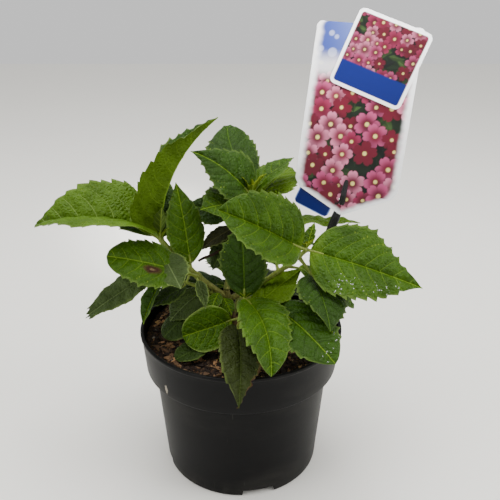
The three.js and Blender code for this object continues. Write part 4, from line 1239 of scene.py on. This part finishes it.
def plate(name, a, b, foot, lean, picture, backColour, hole=None):
    # a thin plate standing up, its front towards -Y
    turn = math.radians(lean)
    x = foot[0] + a * math.cos(turn) - b * math.sin(turn)
    z = foot[2] + a * math.sin(turn) + b * math.cos(turn)
    front, back = (labelPlace(np.stack([x, np.full_like(x, y), z], axis=-1))
                   for y in (foot[1], foot[1] + label["thickness"]))
    uv = np.stack([a - a.min(), b - b.min()], axis=-1) / max(np.ptp(a), np.ptp(b))
    points, quads, uvs = closedSheet(front, back, uv * 0.49, uv * 0.49 + (0.5, 0))
    if hole:
        quads, uvs = cutHole(a, b, quads, uvs, hole)
    backs = np.broadcast_to(backColour, (a.size, 4))
    parts = MeshParts(name)
    parts.add(points, quads, uvs, print=np.concatenate([picture.reshape(-1, 4), backs]))
    return parts.build([printMaterial], 40)


def paintOver(picture, mask, colour):
    return picture + (colour - picture) * mask[..., None]


def paintLeaf(picture, a, b, centre, heading, long, wide, colour):
    turn = math.radians(heading)
    u = (a - centre[0]) * math.cos(turn) + (b - centre[1]) * math.sin(turn)
    v = (b - centre[1]) * math.cos(turn) - (a - centre[0]) * math.sin(turn)
    reach = np.abs(v) - wide * np.clip(1 - (u / long) ** 2, 0, 1)
    mask = 1 - smoothstep(-0.4, 0.4, reach)
    shade = 1 + 0.25 * np.sign(v) + 0.35 * np.exp(-(v / 0.5) ** 2)
    return paintOver(picture, mask * (np.abs(u) < long), colour * shade[..., None])


def paintBlossom(picture, a, b, centre, radius, turn, light, deep):
    # five notched petals round a small yellow eye, over a soft shadow
    u, v = a - centre[0], b - centre[1]
    far, angle = np.hypot(u, v), np.arctan2(v, u) - turn
    petal = np.abs(np.cos(2.5 * angle))
    reach = radius * (0.5 + 0.5 * petal ** 0.5 - 0.12 * np.exp(-(np.abs(np.sin(2.5 * angle)) / 0.2) ** 2))
    shadow = 0.45 * (1 - smoothstep(radius * 0.8, radius * 1.35, np.hypot(u - 0.5, v + 0.8)))
    picture = picture * (1 - shadow[..., None] * np.array([1, 1, 1, 0]))
    seam = 0.3 * np.exp(-(np.minimum(petal, 1) / 0.22) ** 2)
    share = smoothstep(0.15, 0.95, np.clip(far / radius, 0, 1)) * (1 - seam)
    colour = deep + (light - deep) * share[..., None]
    picture = paintOver(picture, 1 - smoothstep(-0.35, 0.35, far - reach), colour)
    return paintOver(picture, 1 - smoothstep(radius * 0.12, radius * 0.2, far), label["eye"])


def paintGarden(a, b, low, high, big, seed):
    # leaves, then blossoms in slanting rows, from the largest distance to the nearest
    greens, pinks = label["greens"], label["pinks"]
    picture = np.broadcast_to(greens[0], (*a.shape, 4))
    draw = seeded(seed)
    wide, tall = high[0] - low[0], high[1] - low[1]
    for _ in range(int(wide * tall / (big * big) * 1.1)):
        centre = (low[0] + wide * next(draw), low[1] + tall * next(draw))
        green = greens[int(3 * next(draw))] * (0.8 + 0.5 * next(draw))
        heading, long = 360 * next(draw), big * (0.9 + 0.5 * next(draw))
        picture = paintLeaf(picture, a, b, centre, heading, long, big * 0.38, green)
    for row in range(int(tall / (1.25 * big)) + 2):
        for column in range(int(wide / (1.45 * big)) + 2):
            x = low[0] + (column + 0.5 * (row % 2)) * 1.45 * big + 0.7 * big * (next(draw) - 0.5)
            y = high[1] - row * 1.25 * big + 0.5 * big * (next(draw) - 0.5) + 0.12 * (x - low[0])
            size = big * (0.8 + 0.36 * next(draw))
            light, deep = pinks[int(4 * next(draw))], pinks[2] * (0.7 + 0.5 * next(draw))
            if next(draw) >= 0.13:
                picture = paintBlossom(picture, a, b, (x, y), size, 6 * next(draw), light, deep)
    return picture


def makeLabelMaterial(name, colour, grainScale, grainAmount, roughness, relief, **constants):
    # without a colour it takes the picture that is painted on the points
    board = MaterialBoard(name, **constants)
    grain = board.group(fineGrain, Scale=grainScale, Amount=grainAmount)
    base = board.tinted(colour or board.attribute("print", "Color"), grain["Shade"])
    height = grain["Height"]
    return board.cover(base, board.ramp(height, 0.3, 0.7, *roughness), height if relief else None, relief)


def makeCard():
    c = label
    rows, columns = round(c["cardHeight"] / c["cell"]), round(c["cardWidth"] / c["cell"])
    a, b = plateGrid(0.15, c["cardHeight"], cardHalfWidth, rows, columns)
    picture = paintGarden(a, b, (-40, 0), (40, 128), 9.5, 4711)
    tone = smoothstep(-45, 45, a + 0.4 * (b - 130))
    sky = c["sky"] + (c["paleSky"] - c["sky"]) * tone[..., None]
    picture = paintOver(picture, smoothstep(108, 128, b + 3 * ripple(a / 9, b / 9)), sky)
    draw = seeded(77)
    for _ in range(14):
        place = (-36 + 72 * next(draw), 126 + 22 * next(draw))
        size = 1.5 + 3.2 * next(draw)
        disc = 0.4 * (1 - smoothstep(size - 0.5, size + 0.5, np.hypot(a - place[0], b - place[1])))
        picture = paintOver(picture, disc, c["discs"])
    mist = smoothstep(104, 114, b) * (1 - smoothstep(116, 130, b)) * 0.65
    picture = paintOver(picture, mist, c["white"])
    half = cardHalfWidth(np.clip(b, 0.2, c["cardHeight"] - 0.2))
    slanted = (half - np.abs(a)) * np.where(b < c["cardPoint"] - 4, 0.62, 1)
    fade = 1 - smoothstep(1.6, c["whiteMargin"], slanted + 0.8 * ripple(a / 5, b / 5))
    picture = paintOver(picture, fade, c["white"])
    return plate("label_card_face", a, b, (0, 0, 0), c["cardLean"], picture, c["cardBack"], c["slot"])


def makeTag():
    c, corner, border = label, label["tagCorner"], label["tagBorder"]
    count = round(c["tagSize"][0] / c["tagCell"])
    a, b, inset = roundedPlate(c["tagSize"], corner, count, count)
    picture = paintGarden(a, b, (-30, -12), (30, 30), 6.2, 271) * c["tagShare"]
    picture[..., 3] = 1
    picture = paintOver(picture, 1 - smoothstep(c["bandTop"] - 0.3, c["bandTop"] + 0.3, b), c["blue"])
    beyond = [np.maximum(np.abs(way) - (size / 2 - corner), 0) for way, size in zip((a, b), c["tagSize"])]
    inCorner = np.hypot(*beyond)
    inset = np.where(inCorner > 0, np.minimum(inset, corner - inCorner), inset)
    picture = paintOver(picture, 1 - smoothstep(border - 0.25, border + 0.25, inset), c["white"])
    return plate("label_tag_face", a, b, c["tagCentre"], c["tagLean"], picture, c["tagBack"])


def makeTab():
    c = label
    a, b, inset = roundedPlate(c["tabSize"], c["tabCorner"], 50, 56)
    picture = paintOver(c["blue"], 1 - smoothstep(0.5, 0.9, inset), c["paleBlue"])
    return plate("label_tab_face", a, b, c["tabCentre"], c["tabLean"], picture, c["tagBack"])


stake = {
    "lowerPath": ((36, 23, 84), (47.5, 23, 119), (78, 23, 213)),
    "labelPath": ((-2.6, 3.2, 3.5), (-0.3, 0.4, 10.5), (0.9, -2.1, 16), (2.2, -2.3, 28.6)),
    "width": 7, "topWidth": 3.6, "thickness": 2.2,
    # half of the section's outline with its channel, as shares of the half width and the half thickness
    "section": ((1, 0.55), (0.86, 1), (0.5, 1), (0.36, 0.5), (-0.36, 0.5), (-0.5, 1), (-0.86, 1), (-1, 0.55)),
}


def makeStake():
    corners = np.concatenate([stake["lowerPath"], labelPlace(stake["labelPath"])])
    widthAt = np.interp(np.arange(7), [0, 2, 6], [stake["width"], stake["width"], stake["topWidth"]])
    lengths = np.concatenate([[0], np.cumsum(np.linalg.norm(np.diff(corners, axis=0), axis=1))])
    along = np.unique(np.concatenate([np.linspace(0, lengths[-1], 90), lengths]))
    path = np.stack([np.interp(along, lengths, corners[:, k]) for k in range(3)], axis=1)
    side, out = pathFrame(path, labelPlace((0, 1, 0)) - labelPlace((0, 0, 0)))
    section = np.array(stake["section"])
    section = np.concatenate([section, -section])
    width = np.interp(along, lengths, widthAt) * np.minimum(1, 0.5 + (along[-1] - along) / 5)
    grid = path[:, None] + side[:, None] * (section[:, 0] * width[:, None] / 2)[..., None] \
        + out[:, None] * (section[:, 1] * stake["thickness"] / 2)[..., None]
    parts = MeshParts("label_stake_rod")
    parts.addRings(endsDrawnIn(grid, path))
    return parts.build([stakeMaterial], 30)


water = {
    "dropDensity": 52000,  # to the square metre
    "smallest": 0.25, "largest": 0.7,
    "shapes": ((1.0, 0.6), (1.25, 0.5), (1.0, 0.75)),  # length and height of the drops
}


def dropPrototypes():
    # flat round drops of a millimetre's radius
    made = []
    turn = turns(12)
    for k, (long, tall) in enumerate(water["shapes"]):
        profile = [(0.02, -0.1), (0.9, -0.08), (1.0, 0.08), (0.85, tall * 0.62), (0.5, tall * 0.92),
                   (0.02, tall)]
        r, z = np.array(profile).T[..., None]
        parts = MeshParts(f"drop{k}")
        parts.addRings(np.stack([r * long * np.cos(turn), r * np.sin(turn), z + 0 * turn], axis=-1))
        made.append(parts.build([], 180))
    return made


def makeWaterMaterial():
    # the near-white base colour, left a quarter diffuse, is a painted glint that whitens the drops as highlights
    # would
    board = MaterialBoard("waterDrops", Roughness=0.05, IOR=1.33, Transmission_Weight=0.75)
    return board.cover(board.mix(board.noise(board.objectPlace(), 300.0), (0.97, 1.0, 0.97), (1.0, 1.0, 1.0)))


waterMaterial = makeWaterMaterial()
wetBlades = [piece for piece, nodes, slot in dressed if piece.name in ("blades_right", "blades_front")]
for blades in wetBlades:
    drops = scatter(blades.name.replace("blades", "drops"), blades, dropPrototypes(), waterMaterial, Tilt=0.0,
                    Density=water["dropDensity"], Smallest=water["smallest"], Largest=water["largest"])
    dressed.append((drops, [blades.name.replace("blades", "leaves")], None))
print("water drops strewn on", len(wetBlades), "masses")

printMaterial = makeLabelMaterial("glossyPrint", None, 1600.0, 0.06, (0.32, 0.42), None,
                                  Specular_IOR_Level=0.3, Coat_Weight=0.08, Coat_Roughness=0.15)
stakeMaterial = makeLabelMaterial("stakePlastic", linear(22, 23, 24), 1200.0, 0.2, (0.34, 0.5), (0.3, 0.0002),
                                  Specular_IOR_Level=0.5)
dressed.append((makeStake(), ["label_stake"], "stake_plastic"))
dressed.append((makeCard(), ["label_card"], "card_print"))
dressed.append((makeTag(), ["label_tag"], "tag_print"))
dressed.append((makeTab(), ["label_tab"], "tab_print"))
print("label made")

for piece, nodes, slot in dressed:
    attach(piece, "root")
    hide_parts(*nodes)


def makeFloor():
    size = studio["floorSize"] / 2
    mesh = bpy.data.meshes.new("paleFloor")
    corners = [(-size, -size, 0), (size, -size, 0), (size, size, 0), (-size, size, 0)]
    mesh.from_pydata(corners, [], [(0, 1, 2, 3)])
    floor = bpy.data.objects.new("paleFloor", mesh)
    bpy.context.collection.objects.link(floor)
    board = MaterialBoard("paleFloorPaint", Roughness=0.7)
    low = tuple(v * 0.96 for v in studio["floorColour"])
    shade = board.noise(board.objectPlace(), 3.0, 4.0)
    mesh.materials.append(board.cover(board.mix(shade, studio["floorColour"], low)))


makeFloor()
print("size of the CAD model and of the visual model written")
